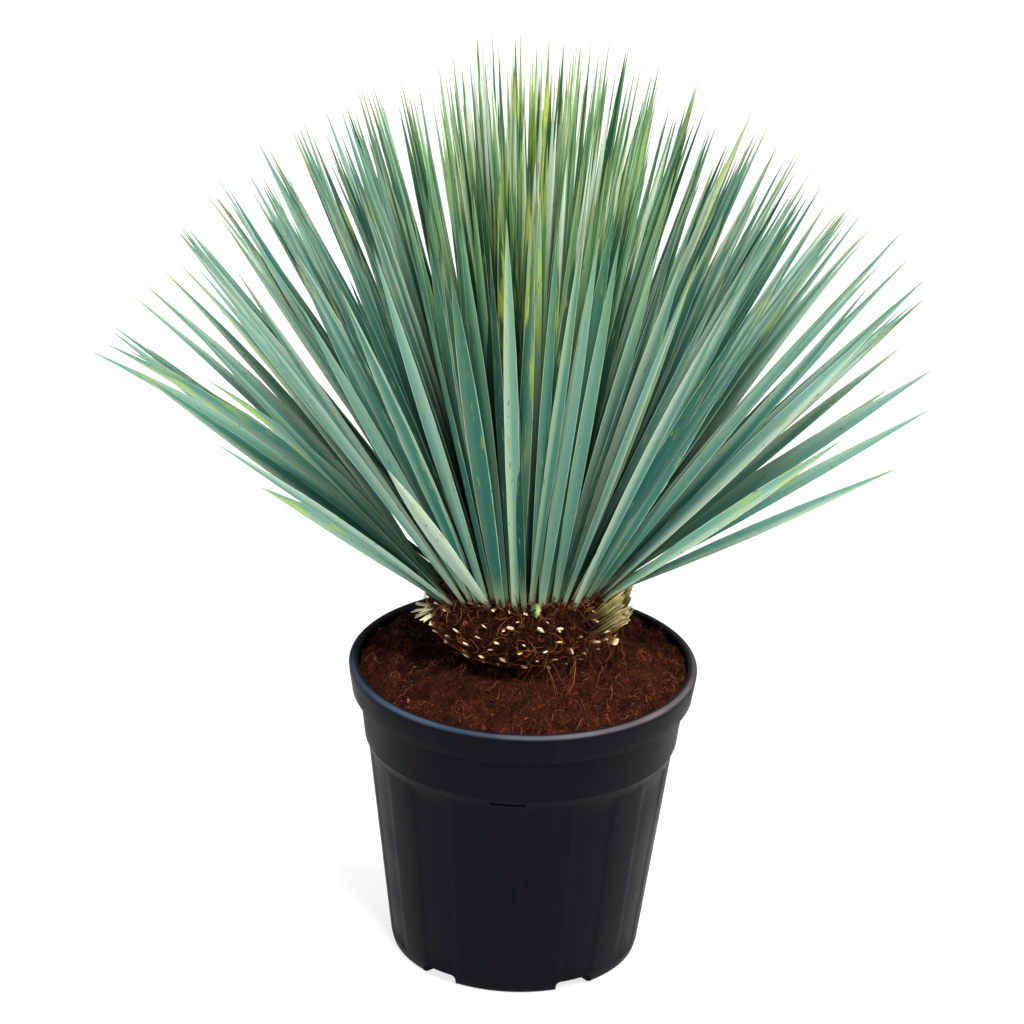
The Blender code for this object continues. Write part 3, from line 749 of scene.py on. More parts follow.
def strands_group():
    """A mask of thin curly lines, as of matted fibre: the ridges of a twisted cloud."""
    group, given, out = new_group(
        "strands",
        {"Vector": ("Vector", None), "Size": ("Float", 300.0), "Twist": ("Float", 1.5), "Width": ("Float", 0.06)},
        {"Mask": "Float"},
    )
    made = put(group, "TexNoise", {"Vector": given.outputs["Vector"], "Scale": given.outputs["Size"],
                                   "Detail": 1.5, "Distortion": given.outputs["Twist"]})
    off = maths(group, "ABSOLUTE", maths(group, "SUBTRACT", made.outputs[0], 0.5))
    mask = put(group, "MapRange", {0: off, 1: 0.0, 2: given.outputs["Width"], 3: 1.0, 4: 0.0})
    mask.interpolation_type = "SMOOTHSTEP"
    group.links.new(mask.outputs[0], out.inputs["Mask"])
    return group


def matted(tree, place, dark, middle, light):
    """Colour and bump of matted fibre: lumps, painted shade in dark pits, and two layers of curly lines over them."""
    rough = use_group(tree, MOTTLE, Vector=place, Coarse=70.0, Fine=520.0, Depth=0.0012)
    first = use_group(tree, STRANDS, Vector=place, Size=210.0, Twist=2.2, Width=0.05)["Mask"]
    moved = stretched(tree, place, (1, 1, 1), (0.31, 0.17, 0.05))
    second = use_group(tree, STRANDS, Vector=moved, Size=330.0, Twist=3.0, Width=0.07)["Mask"]
    colour = blend(tree, rough["Patches"], dark, middle)
    # Painted shade: near-black spots for the shaded hollows between the fibres.
    painted_hollows = span(tree, cloud(tree, place, 190.0, 2.0), 0.38, 0.50, 1.0, 0.0)
    colour = blend(tree, maths(tree, "MULTIPLY", painted_hollows, 0.8), colour, dark)
    colour = blend(tree, maths(tree, "MULTIPLY", second, 0.55), colour, middle)
    colour = blend(tree, maths(tree, "MULTIPLY", first, span(tree, rough["Grain"], 0, 1, 0.15, 0.75)), colour, light)
    height = maths(tree, "ADD", maths(tree, "MULTIPLY", first, 0.6), maths(tree, "MULTIPLY", second, 0.4))
    bump = put(tree, "Bump", {"Strength": 0.8, "Distance": 0.0008, "Height": height, "Normal": rough["Normal"]})
    return colour, bump.outputs[0]


def compost_finish():
    """Dark red-brown compost of matted fibre, with painted shade round the stump, darkest on its left."""
    made, tree, shader = new_finish("compost", 0.95, 0.05)
    place = put(tree, "TexCoord").outputs["Object"]
    colour, normal = matted(tree, place, srgb(15, 5, 3), srgb(54, 22, 13), srgb(128, 62, 34))
    parts = put(tree, "SeparateXYZ", {0: place}).outputs
    # Painted shade round the stump, centred 42 mm to the left of the axis: darkest close in, gone by 66 mm.
    flat = put(tree, "CombineXYZ", {0: maths(tree, "ADD", parts["X"], 0.042), 1: parts["Y"]}).outputs[0]
    # Painted shade: darker patches that stand in for the shade between the compost's lumps.
    painted_patch_shade = span(tree, cloud(tree, place, 75.0, 3.0, 0.6), 0.50, 0.66, 0.0, 0.7)
    colour = blend(tree, painted_patch_shade, colour, srgb(20, 8, 5))
    painted_shade_radius = put(tree, "VectorMath", {0: flat}, operation="LENGTH").outputs["Value"]
    colour = blend(tree, span(tree, painted_shade_radius, 0.040, 0.066, 0.8, 0.0), colour, srgb(16, 6, 4))
    tree.links.new(colour, shader.inputs["Base Color"])
    tree.links.new(normal, shader.inputs["Normal"])
    return made


def fibre_finish(name, dark, middle, light):
    """Dry fibres, each a little lighter or darker than the next."""
    made, tree, shader = new_finish(name, 0.75, 0.12)
    shade = put(tree, "Attribute", attribute_name="shade").outputs["Fac"]
    colour = blend(tree, span(tree, shade, 0.0, 0.55), dark, middle)
    colour = blend(tree, span(tree, shade, 0.66, 1.0), colour, light)
    tree.links.new(colour, shader.inputs["Base Color"])
    return made


# Stump

def stump_sides():
    """The stump's (radius, height) from its foot to the middle of the crown's top."""
    sides = [
        (TRUNK_FOOT_RADIUS, TRUNK_FOOT), (NECK_RADIUS, NECK_HEIGHT), (0.057, 0.2705), (0.068, 0.279),
        (0.0755, 0.288), (0.079, 0.297), (0.0794, 0.304),
    ]
    for polar in range(52, 4, -2):
        turn = math.radians(polar)
        sides.append((CROWN_RADIUS * math.sin(turn), CROWN_CENTRE + CROWN_RADIUS * math.cos(turn)))
    return sides


def stump_radius(height):
    sides = stump_sides()
    for (lower, low), (upper, high) in zip(sides, sides[1:]):
        if low <= height <= high:
            return lower + (upper - lower) * (height - low) / (high - low)
    return 0.0


def on_stump(azimuth, height):
    return Vector((0, 0, height)) + outward(azimuth, 0) * stump_radius(height)


def leaf_line(y):
    """Height of the sloping plane where the trunk ends and the leaf head begins."""
    return LEAF_LINE + LEAF_LINE_SLOPE * y


def stump():
    """The swollen stump with its crown, its surface broken up like matted fibre."""
    sides = stump_sides()
    profile = sides[:1]
    for (lower, low), (upper, high) in zip(sides, sides[1:]):
        steps = max(1, round(math.hypot(upper - lower, high - low) / 0.0026))
        if low < NECK_HEIGHT - 0.01:
            steps = 3
        profile += [(lower + (upper - lower) * i / steps, low + (high - low) * i / steps) for i in range(1, steps + 1)]
    made = turned("stump", profile, STUMP_SEGMENTS)
    for vertex in made.data.vertices:
        place = vertex.co.copy()
        if place.z < NECK_HEIGHT:
            continue
        fine = noise.turbulence(place * 170, 3, False)
        lumps = noise.noise(place * 75)
        away = Vector((place.x, place.y, (place.z - CROWN_CENTRE) * 0.8)).normalized()
        vertex.co = place + away * (0.0020 * lumps + 0.0042 * (fine - 0.78))
    smooth(made, 60)
    return made


def stump_finish():
    """Matted dark brown fibre, with painted shade for its near black hollows."""
    made, tree, shader = new_finish("stump_fibre", 0.92, 0.06)
    place = put(tree, "TexCoord").outputs["Object"]
    colour, normal = matted(tree, place, srgb(2, 0, 0), srgb(24, 8, 2), srgb(98, 47, 18))
    tree.links.new(colour, shader.inputs["Base Color"])
    tree.links.new(normal, shader.inputs["Normal"])
    return made


def stub_places():
    """Point on the stump, direction and size of each cut leaf base, in staggered rows."""
    draw = random.Random(STUB_SEED)
    for row in range(STUB_ROWS):
        for i in range(STUBS_IN_ROW):
            azimuth = 360 / STUBS_IN_ROW * (i + 0.38 * row) + draw.uniform(-3, 3)
            height = LOWEST_STUBS + STUB_ROW_SPACING * row + draw.uniform(-0.0018, 0.0018)
            rise = 18 + 5 * row + draw.uniform(-8, 8)
            size = draw.uniform(0.6, 1.05)
            point = on_stump(azimuth, height)
            kept = draw.random() > 0.06
            if kept and height < leaf_line(point.y) - 0.0045:
                yield point, outward(azimuth, rise), size


def fan_places():
    """Root, direction, length and width of the broad bases on the right."""
    draw = random.Random(STUB_SEED)
    first, last = FAN_AZIMUTHS
    for row, (below, rise) in enumerate(zip(FAN_BELOW_LEAF_LINE, FAN_RISES)):
        for i in range(FAN_BASES):
            azimuth = first + (last - first) * (i + 0.5 * (row % 2)) / (FAN_BASES - 0.5)
            level = leaf_line(on_stump(azimuth, LEAF_LINE).y)
            root = on_stump(azimuth, level - below)
            across = FAN_REACH + draw.uniform(-0.003, 0.001) - root.x
            length = max(0.011, across / outward(azimuth, rise).x)
            yield root, outward(azimuth, rise), length, FAN_WIDTH * draw.uniform(0.8, 1.1)


def tuft_places():
    """Root, direction, length and width of the narrow prongs on the left."""
    draw = random.Random(STUB_SEED)
    for i, turn in enumerate(TUFT_TURNS):
        root = on_stump(TUFT_AZIMUTH + turn * 0.15, TUFT_HEIGHT + 0.004 * (i % 2))
        rise = 22 * (i % 2) - 20 + draw.uniform(-6, 6)
        yield root, outward(TUFT_AZIMUTH + turn, rise), TUFT_LENGTH * draw.uniform(0.75, 1.0), TUFT_WIDTH


def base_master():
    """A cut leaf base of unit length and width: a flattened bar with a bevelled, hollow end."""
    bpy.ops.object.select_all(action="DESELECT")
    bpy.ops.mesh.primitive_cylinder_add(vertices=8, radius=0.5, depth=1, location=(0, 0, 0.5))
    made = added("leaf_base")
    bpy.ops.object.transform_apply(location=True, rotation=True, scale=True)
    edit(made)
    for height in (0.35, 0.7, 0.92):
        bpy.ops.mesh.select_all(action="SELECT")
        bpy.ops.mesh.bisect(plane_co=(0, 0, height), plane_no=(0, 0, 1))
    pick(made, lambda place: place.z > 0.99)
    bpy.ops.transform.resize(value=(0.86, 0.86, 1), center_override=(0, 0, 1))
    bpy.ops.mesh.select_mode(type="FACE")
    bpy.ops.mesh.inset(thickness=0.09, depth=-0.04)
    leave_edit()
    return made


def base_copy(master, name, draw, root, direction, size, flat, taper, roll, pale):
    """A cut leaf base at its root: flattened, tapered and rolled, its end torn a little."""
    length, width = size
    home = pointing(direction, root - direction * ROOT_SINK) @ Matrix.Rotation(roll, 4, "Z")
    whole = length + ROOT_SINK
    slant = draw.uniform(-1.1, 1.1)
    places = []
    for vertex in master.data.vertices:
        x, y, z = vertex.co
        across = width * (1 - taper * z)
        torn = draw.uniform(-0.0006, 0.0006) + slant * x * width if z > 0.9 else 0.0
        places.append(home @ Vector((x * across, y * across * flat, z * whole + torn)))
    made = copied(master, name, places, shade=draw.random(), pale=pale)
    layer = made.data.attributes.new("reach", "FLOAT", "POINT")
    layer.data.foreach_set("value", [vertex.co.z for vertex in master.data.vertices])
    return made


def shoulder_places():
    """Stubs on the bare shoulder of the crown in front, between the stump and the leaves."""
    draw = random.Random(19)
    for row, polar in enumerate((50.5, 46.0, 41.5)):
        for i in range(-6, 7):
            azimuth = 11.5 * (i + 0.45 * (row % 2)) + draw.uniform(-2.5, 2.5)
            kept = draw.random() > 0.55
            if kept and polar > leaf_zone(azimuth) + 1.5:
                point = outward(azimuth, 90 - polar) * CROWN_RADIUS + Vector((0, 0, CROWN_CENTRE))
                yield point, outward(azimuth, 62 - polar + draw.uniform(-10, 10)), draw.uniform(0.4, 0.85)


def scrap_places():
    """Dry brown scraps of leaf sheath that stick up round the leaves' roots."""
    draw = random.Random(29)
    for _ in range(SCRAPS):
        azimuth = draw.uniform(-180, 180)
        polar = leaf_zone(azimuth) + draw.uniform(-4, 5)
        point = outward(azimuth, 90 - polar) * CROWN_RADIUS + Vector((0, 0, CROWN_CENTRE))
        yield point, outward(azimuth + draw.uniform(-25, 25), draw.uniform(20, 65)), draw.uniform(0.5, 1.2)


def cut_leaf_bases():
    """Cream stubs all over the stump, brown scraps, the tan fan on the right, the tuft on the left."""
    draw = random.Random(12)
    master = base_master()
    made = []
    for i, (point, direction, size) in enumerate([*stub_places(), *shoulder_places()]):
        shape = (0.0036 * draw.uniform(0.4, 1.2), 0.0063 * size * draw.uniform(0.8, 1.25))
        made.append(base_copy(master, f"stub_{i}", draw, point, direction, shape, draw.uniform(0.24, 0.40), 0.15,
                              draw.gauss(-0.4, 0.4), draw.uniform(0.4, 1.0)))
    for i, (point, direction, size) in enumerate(scrap_places()):
        shape = (0.0085 * size, 0.0062 * size)
        made.append(base_copy(master, f"scrap_{i}", draw, point, direction, shape, 0.16, 0.75,
                              draw.gauss(0, 0.5), -1.0))
    for i, (root, direction, length, width) in enumerate(fan_places()):
        for side, shift in enumerate((-0.3, 0.3)):
            spot = root + Vector((0, 0, 0.0035 * shift)) + outward(0, 0) * 0.002 * shift
            shape = (length * draw.uniform(0.88, 1.04), width * 0.85)
            made.append(base_copy(master, f"fan_{i}_{side}", draw, spot, direction + Vector((0, 0, 0.10 * shift)),
                                  shape, 0.20, 0.15, draw.gauss(0, 0.35), 0.2))
    for i, (root, direction, length, width) in enumerate(tuft_places()):
        for side, turn in enumerate((-9, 9)):
            way = Matrix.Rotation(math.radians(turn), 3, "Z") @ direction
            made.append(base_copy(master, f"tuft_{i}_{side}", draw, root, way,
                                  (length * draw.uniform(0.75, 1.0), width), 0.45, 0.72, draw.gauss(0, 0.3), 2.0))
    for i in range(TORN_SHEETS):
        root = outward(TORN_AZIMUTH + 7 * i, 0) * draw.uniform(0.074, 0.078) + Vector((0, 0, 0.307 + 0.002 * (i % 3)))
        way = outward(TORN_AZIMUTH + 7 * i, draw.uniform(58, 76))
        shape = (draw.uniform(0.012, 0.018), draw.uniform(0.008, 0.012))
        made.append(base_copy(master, f"sheet_{i}", draw, root, way, shape, 0.10, 0.35, draw.gauss(0, 0.5), 0.15))
    torn = on_stump(60, 0.290)
    made.append(base_copy(master, "torn_stub", draw, torn, outward(64, -4), (0.009, 0.0085), 0.22, 0.2, 0.5, 0.45))
    bpy.data.objects.remove(master)
    whole = joined("cut_leaf_bases", made)
    smooth(whole, 40)
    return whole


def green_bud():
    """A small green offset that hangs from the shoulder at the front."""
    bpy.ops.object.select_all(action="DESELECT")
    bpy.ops.mesh.primitive_uv_sphere_add(segments=20, ring_count=14, radius=1)
    made = added("green_bud")
    edit(made)
    pick(made, lambda place: place.z > 0.2)
    bpy.ops.transform.resize(value=(0.8, 0.8, 1.25), center_override=(0, 0, 0.2))
    pick(made, lambda place: place.z > 0.8)
    bpy.ops.transform.resize(value=(0.4, 0.4, 1), center_override=(0, 0, 0.8))
    leave_edit()
    root = outward(BUD_AZIMUTH, 50) * CROWN_RADIUS + Vector((0, 0, CROWN_CENTRE))
    made.matrix_world = pointing(outward(BUD_AZIMUTH, -38), root) @ Matrix.Diagonal((0.0045, 0.0042, 0.0060, 1))
    focus(made)
    bpy.ops.object.transform_apply(location=True, rotation=True, scale=True)
    smooth(made, 60)
    return made


def bud_finish():
    made, tree, shader = new_finish("bud_skin", 0.45, 0.4)
    place = put(tree, "TexCoord").outputs["Object"]
    lines = cloud(tree, stretched(tree, place, (1, 1, 0.15)), 900.0, 2.0)
    # Painted light: the bud's left side is dark olive and its right side pale, as if lit from the right.
    right = span(tree, put(tree, "SeparateXYZ", {0: place}).outputs["X"], 0.0075, 0.0115)
    colour = blend(tree, right, srgb(44, 64, 40), srgb(146, 160, 104))
    colour = blend(tree, span(tree, lines, 0.4, 0.65, 0.0, 0.4), colour, srgb(96, 116, 74))
    tree.links.new(colour, shader.inputs["Base Color"])
    return made


def base_finish():
    """Leaf bases: brown at the root, green to tan along the side, cream where they were cut."""
    made, tree, shader = new_finish("cut_leaf_base", 0.6, 0.35)
    place = put(tree, "TexCoord").outputs["Object"]
    shade = put(tree, "Attribute", attribute_name="shade").outputs["Fac"]
    pale = put(tree, "Attribute", attribute_name="pale").outputs["Fac"]
    reach = put(tree, "Attribute", attribute_name="reach").outputs["Fac"]
    rough = use_group(tree, MOTTLE, Vector=place, Coarse=160.0, Fine=900.0, Depth=0.0003)
    side = blend(tree, shade, srgb(110, 124, 62), srgb(160, 140, 86))
    side = blend(tree, maths(tree, "MULTIPLY", rough["Patches"], 0.5), side, srgb(96, 74, 36))
    cut = maths(tree, "MULTIPLY", span(tree, pale, 0.3, 0.4), span(tree, pale, 1.1, 1.4, 1.0, 0.0))
    side = blend(tree, cut, side, srgb(112, 78, 44))
    root = blend(tree, span(tree, reach, 0.25, 0.6), srgb(70, 48, 22), side)
    cream = blend(tree, rough["Patches"], srgb(242, 208, 142), srgb(255, 240, 196))
    end = maths(tree, "MULTIPLY", span(tree, reach, 0.70, 0.92), span(tree, pale, 0.1, 0.9, 0.25, 1.0))
    colour = blend(tree, end, root, cream)
    whitened = maths(tree, "MULTIPLY", span(tree, reach, 0.3, 0.6), span(tree, pale, 1.4, 1.8, 0.0, 0.85))
    colour = blend(tree, whitened, colour, srgb(196, 198, 152))
    dry = blend(tree, shade, srgb(44, 22, 10), srgb(98, 62, 34))
    colour = blend(tree, span(tree, pale, -0.6, -0.2, 1.0, 0.0), colour, dry)
    tree.links.new(colour, shader.inputs["Base Color"])
    tree.links.new(rough["Normal"], shader.inputs["Normal"])
    return made


def stump_fibres():
    """Curly fibres that cling to the stump and hang from it."""
    draw = random.Random(47)
    steps = 7
    master = strand_master(steps)
    made = []
    for i in range(FIBRES_ON_STUMP):
        azimuth = draw.uniform(-180, 180)
        height = draw.uniform(0.268, 0.334)
        length = 0.005 + 0.017 * draw.random() ** 2
        lift = draw.uniform(0.0004, 0.0022)
        path = []
        for share, (x, y) in enumerate(curl(draw, steps, length, 3.0, 0.30)):
            level = min(0.340, max(0.2665, height + y))
            radius = stump_radius(level)
            turn = azimuth + math.degrees(x / max(0.03, radius))
            hump = 0.0008 + math.sin(math.pi * share / steps) * lift
            path.append(on_stump(turn, level) + outward(turn, 20) * hump)
        radius = draw.uniform(0.00010, 0.00022)
        made.append(copied(master, f"fibre_{i}", along(master, path, radius), shade=draw.random()))
    for i in range(HANGING_FIBRES):
        azimuth, height = draw.uniform(5, 105), draw.uniform(0.272, 0.300)
        top = on_stump(azimuth, height) + outward(azimuth, 0) * 0.001
        foot = outward(azimuth + draw.gauss(0, 9), 0) * draw.uniform(0.056, 0.088)
        foot.z = soil_top(foot.x, foot.y) + 0.0004
        path = []
        for k in range(steps + 1):
            share = k / steps
            sway = outward(azimuth, 0) * 0.006 * math.sin(math.pi * share) * draw.uniform(0.4, 1.2)
            path.append(top.lerp(foot, share) + sway + draw_axis(draw) * 0.0008)
        radius = draw.uniform(0.00008, 0.00020)
        made.append(copied(master, f"hanging_{i}", along(master, path, radius), shade=draw.random()))
    bpy.data.objects.remove(master)
    return joined("stump_fibres", made)


# Leaves

def between(table, value):
    """The value looked up in a table of (place, result), evenly between its rows."""
    for (left, low), (right, high) in zip(table, table[1:]):
        if value <= right:
            return low + (high - low) * (value - left) / (right - left)


def leaf_zone(azimuth):
    """Largest polar angle of a leaf's root on the crown at this azimuth."""
    return between(LEAF_ZONE, (azimuth + 180) % 360 - 180)


def side_lean(aim):
    """How far an aim leans to the right in degrees, seen from in front and tilted back."""
    back = math.radians(TILT_BACK)
    upward = aim.z * math.cos(back) + aim.y * math.sin(back)
    return math.degrees(math.atan2(aim.x, max(0.0, upward)))


def reach(aim):
    """Distance of the longest tips from the crown's centre along this aim."""
    return between(REACH, side_lean(aim))


def aimed(azimuth, root, lean):
    """The way a leaf points from its root: out from the crown's middle, raised at the front."""
    upright = Vector((0, 0, 1))
    aim = (root - Vector((0, 0, AIM_CENTRE))).normalized()
    level = upright.cross(aim).normalized()
    front = max(0.0, math.cos(math.radians(azimuth))) ** 1.5
    aim = Matrix.Rotation(-FRONT_RAISE * front * aim.angle(upright), 3, level) @ aim
    aim = Matrix.Rotation(math.radians(lean[0]), 3, level) @ aim
    return Matrix.Rotation(math.radians(lean[1]), 3, aim.cross(level)) @ aim


def leaf_sites():
    """Root, aim, length, width, twist and bend of each leaf, from the youngest outwards."""
    draw = random.Random(LEAF_SEED)
    thin = random.Random(LEAF_SEED + 1)
    made = []
    widest = 1 - math.cos(math.radians(max(polar for _, polar in LEAF_ZONE)))
    for i in range(LEAF_SITES):
        share = (i + 0.5) / LEAF_SITES
        polar = math.degrees(math.acos(1 - widest * share))
        azimuth = GOLDEN_ANGLE * i + draw.uniform(-1, 1) * ROOT_SCATTER / math.sin(math.radians(polar))
        polar += draw.uniform(-1, 1) * ROOT_SCATTER
        shortfall = SHORTEST * draw.random() ** 1.6
        width = LEAF_WIDTH * draw.uniform(0.68, 1.18)
        twist = math.radians(draw.gauss(0, TWIST_SCATTER))
        bend = draw.gauss(0, BEND_SCATTER)
        lean = (draw.gauss(0, LEAN_SCATTER), draw.gauss(0, LEAN_SCATTER))
        thinned = thin.random() < SIDE_THINNING
        if polar > leaf_zone(azimuth):
            continue
        spot = outward(azimuth, 90 - polar) * CROWN_RADIUS
        root = spot + Vector((0, 0, CROWN_CENTRE))
        aim = aimed(azimuth, root, lean)
        if thinned and abs(side_lean(aim)) > THINNED_LEAN:
            continue
        length = (reach(aim) - CROWN_RADIUS) * (1 - shortfall)
        made.append(dict(root=root, aim=aim, length=length, width=width, twist=twist, bend=bend,
                         polar=polar, azimuth=azimuth))
    for azimuth, above, elevation, length, width, tone, gold, bend in LOW_LEAVES:
        polar = leaf_zone(azimuth) + 0.8 - above
        root = outward(azimuth, 90 - polar) * CROWN_RADIUS + Vector((0, 0, CROWN_CENTRE))
        aim = outward(azimuth, elevation - math.degrees(math.atan(bend)))
        made.append(dict(root=root, aim=aim, length=length, width=LEAF_WIDTH * width, twist=0.0, bend=bend,
                         polar=polar, azimuth=azimuth, tone=tone, gold=gold))
    return made


def in_view(place):
    """A place across and up in the photograph's plane, from the crown's centre."""
    back = math.radians(TILT_BACK)
    return Vector((place.x, place.y * math.sin(back) + (place.z - CROWN_CENTRE) * math.cos(back)))


def off_line(spot, first, last):
    """Distance of a spot from the line between two others."""
    along_line = last - first
    share = min(1, max(0, (spot - first).dot(along_line) / along_line.length_squared))
    return (spot - first - along_line * share).length


def shuts_wedge(leaf):
    """True where a leaf would cover one of the open wedges between the photograph's leaves."""
    rise = pointing(leaf["aim"], Vector()).to_3x3().col[1] * leaf["bend"]
    for share in (0.35, 0.45, 0.55, 0.65, 0.75, 0.85, 0.95, 1.0):
        spot = in_view(leaf["root"] + (leaf["aim"] * share + rise * share ** 2) * leaf["length"])
        half = leaf["width"] / 2 * slimness(leaf) * blade_width(share, 0.5)
        for start, end in OPEN_WEDGES:
            if off_line(spot, Vector(start), Vector(end)) < 0.0008 + 0.8 * half:
                return True
    return False


def swung_clear(leaf):
    """The leaf, swung in the photograph's plane off the open wedges, or None where it can't be."""
    if "gold" in leaf:
        return leaf
    for swing in SWINGS:
        aim = Matrix.Rotation(math.radians(swing), 3, TO_EYE) @ leaf["aim"]
        length = leaf["length"] * reach(aim) / reach(leaf["aim"])
        moved = dict(leaf, aim=aim, length=length)
        if not shuts_wedge(moved):
            return moved
    return None


def filling_leaves():
    """Narrower leaves that stand between the others, within their reach."""
    draw = random.Random(FILL_SEED)
    made = []
    for i in range(FILL_SITES):
        azimuth = GOLDEN_ANGLE * (i + 0.5) + draw.uniform(-6, 6)
        polar = leaf_zone(azimuth) * ((i + 0.5) / FILL_SITES) ** 0.6 * draw.uniform(0.9, 1.0)
        root = outward(azimuth, 90 - polar) * CROWN_RADIUS + Vector((0, 0, CROWN_CENTRE))
        aim = aimed(azimuth, root, (draw.gauss(0, 2.2), draw.gauss(0, 2.2)))
        length = (reach(aim) - CROWN_RADIUS) * draw.uniform(0.88, 0.99)
        width = LEAF_WIDTH * draw.uniform(0.6, 1.0)
        twist = math.radians(draw.gauss(0, 28))
        bend = draw.gauss(0, BEND_SCATTER)
        # Painted shade: filling leaves rooted further down the crown, behind the others, are given darker tones.
        tone = draw.random() * (1 - 0.6 * smooth_share(polar, 14, 30))
        if abs(side_lean(aim)) < FILLED_LEAN:
            made.append(dict(root=root, aim=aim, length=length, width=width, twist=twist, bend=bend,
                             polar=polar, azimuth=azimuth, tone=tone))
    return made


def top_leaves():
    """Slim young leaves that fill the middle of the head's top."""
    draw = random.Random(FILL_SEED + 1)
    made = []
    for i in range(TOP_SITES):
        azimuth = GOLDEN_ANGLE * i
        polar = 3 + 30 * (i + 0.5) / TOP_SITES
        root = outward(azimuth, 90 - polar) * CROWN_RADIUS + Vector((0, 0, CROWN_CENTRE))
        aim = aimed(azimuth, root, (draw.gauss(0, 2.0), draw.gauss(0, 2.0)))
        length = (reach(aim) - CROWN_RADIUS) * draw.uniform(0.93, 0.985)
        width = LEAF_WIDTH * draw.uniform(0.75, 1.1)
        twist = math.radians(draw.gauss(0, 20))
        bend = draw.gauss(0, BEND_SCATTER)
        if abs(side_lean(aim) + 1) < 13:
            made.append(dict(root=root, aim=aim, length=length, width=width, twist=twist, bend=bend,
                             polar=polar, azimuth=azimuth))
    return made


def root_is_clear(leaf):
    """True where the whole root stays in the crown, above the leaf line."""
    foot = leaf["root"] - leaf["aim"] * ROOT_SINK
    return foot.z - leaf_line(foot.y) > ROOT_CLEARANCE


def head_leaves():
    """All the leaves: the placed ones as they are, the others with clear roots and off the wedges."""
    made = []
    for leaf in leaf_sites() + filling_leaves() + top_leaves():
        if "gold" in leaf or root_is_clear(leaf):
            moved = swung_clear(leaf)
            if moved:
                made.append(moved)
    return made


def leaf_master():
    """A leaf of unit length: a six-sided bar cut into rings, its last ring drawn to a point."""
    bpy.ops.object.select_all(action="DESELECT")
    bpy.ops.mesh.primitive_cylinder_add(vertices=6, radius=1, depth=1, location=(0, 0, 0.5))
    made = added("leaf")
    bpy.ops.object.transform_apply(location=True, rotation=True, scale=True)
    edit(made)
    for station in LEAF_STATIONS:
        bpy.ops.mesh.select_all(action="SELECT")
        bpy.ops.mesh.bisect(plane_co=(0, 0, station), plane_no=(0, 0, 1))
    pick(made, lambda place: place.z > 0.999)
    bpy.ops.mesh.merge(type="CENTER")
    bpy.ops.mesh.select_all(action="SELECT")
    bpy.ops.mesh.normals_make_consistent(inside=False)
    leave_edit()
    return made


def blade_width(share, root_width):
    """Share of the full width at a share of the leaf's length: a narrow root, a long taper."""
    if share < WIDEST_AT:
        return root_width + (1 - root_width) * math.sin(math.pi / 2 * share / WIDEST_AT) ** 1.3
    return max(0.0, math.cos(math.pi / 2 * ((share - WIDEST_AT) / (1 - WIDEST_AT)) ** 1.1))


def frontness(leaf):
    """1 for the low leaves at the front, 0 for the young ones and for those at the back."""
    facing = smooth_share(math.cos(math.radians(leaf["azimuth"])), 0.0, 0.8)
    return facing * smooth_share(leaf["polar"], 22, 34)


def slimness(leaf):
    """Share of its width that a leaf keeps: the young ones on top are the slimmest."""
    side = smooth_share(abs(side_lean(leaf["aim"])), 26, 55)
    return 0.72 + max(0.20 * frontness(leaf), 0.24 * side)


def facing_twist(aim):
    """The least twist that turns a leaf's flat side to the photograph's camera."""
    home = pointing(aim, Vector()).to_3x3()
    turn = math.atan2(-home.col[0].dot(TO_EYE), home.col[1].dot(TO_EYE))
    return (turn + math.pi / 2) % math.pi - math.pi / 2


def keel_depth(share):
    return min(1.0, 1.25 * (1 - share)) ** 0.7


def leaf_section(corner):
    """Place across (-1 to 1) and depth (share of the keel) of one of the bar's six sides."""
    if abs(corner.x) < 0.01:
        return (0.0, -0.16) if corner.y > 0 else (0.0, -1.0)
    return (math.copysign(1.0, corner.x), 0.06) if corner.y > 0 else (math.copysign(0.56, corner.x), -0.62)


def leaf_rings(master):
    """Across, depth and share along the leaf, for each of the master's vertices."""
    rows = []
    for vertex in master.data.vertices:
        across, depth = leaf_section(vertex.co)
        if vertex.co.z > 0.999:
            across = depth = 0.0
        rows.append((across, depth, vertex.co.z))
    return np.array(rows)


def mark_leaf(master, rings):
    """A UV map on the master: across the leaf and along it."""
    layer = master.data.uv_layers.new(name="leaf")
    for loop in master.data.loops:
        across, _, share = rings[loop.vertex_index]
        layer.data[loop.index].uv = (0.5 + 0.5 * across, share)


def leaf_places(leaf, rings):
    """The leaf's vertices, set along its bent and twisted midline."""
    across, depth, share = rings.T
    whole = leaf["length"] + ROOT_SINK
    root_width = ROOT_WIDTH + (FRONT_ROOT_WIDTH - ROOT_WIDTH) * frontness(leaf)
    full_width = leaf["width"] * slimness(leaf)
    wide = np.array([blade_width(value, root_width) for value in share]) * full_width / 2 * across
    drop = np.array([keel_depth(value) for value in share]) * LEAF_KEEL * depth
    side = smooth_share(abs(side_lean(leaf["aim"])), 5, 26)
    twist = (leaf["twist"] + FACING * side * facing_twist(leaf["aim"])) * (0.4 + 0.6 * share)
    local = np.stack([
        wide * np.cos(twist) - drop * np.sin(twist),
        wide * np.sin(twist) + drop * np.cos(twist) + leaf["bend"] * whole * share ** 2,
        share * whole,
        np.ones_like(share),
    ])
    home = np.array(pointing(leaf["aim"], leaf["root"] - leaf["aim"] * ROOT_SINK))
    return (home @ local)[:3].T


def smooth_share(value, low, high):
    """The value's place between low and high, from 0 to 1, eased at both ends."""
    share = min(1, max(0, (value - low) / (high - low)))
    return share * share * (3 - 2 * share)


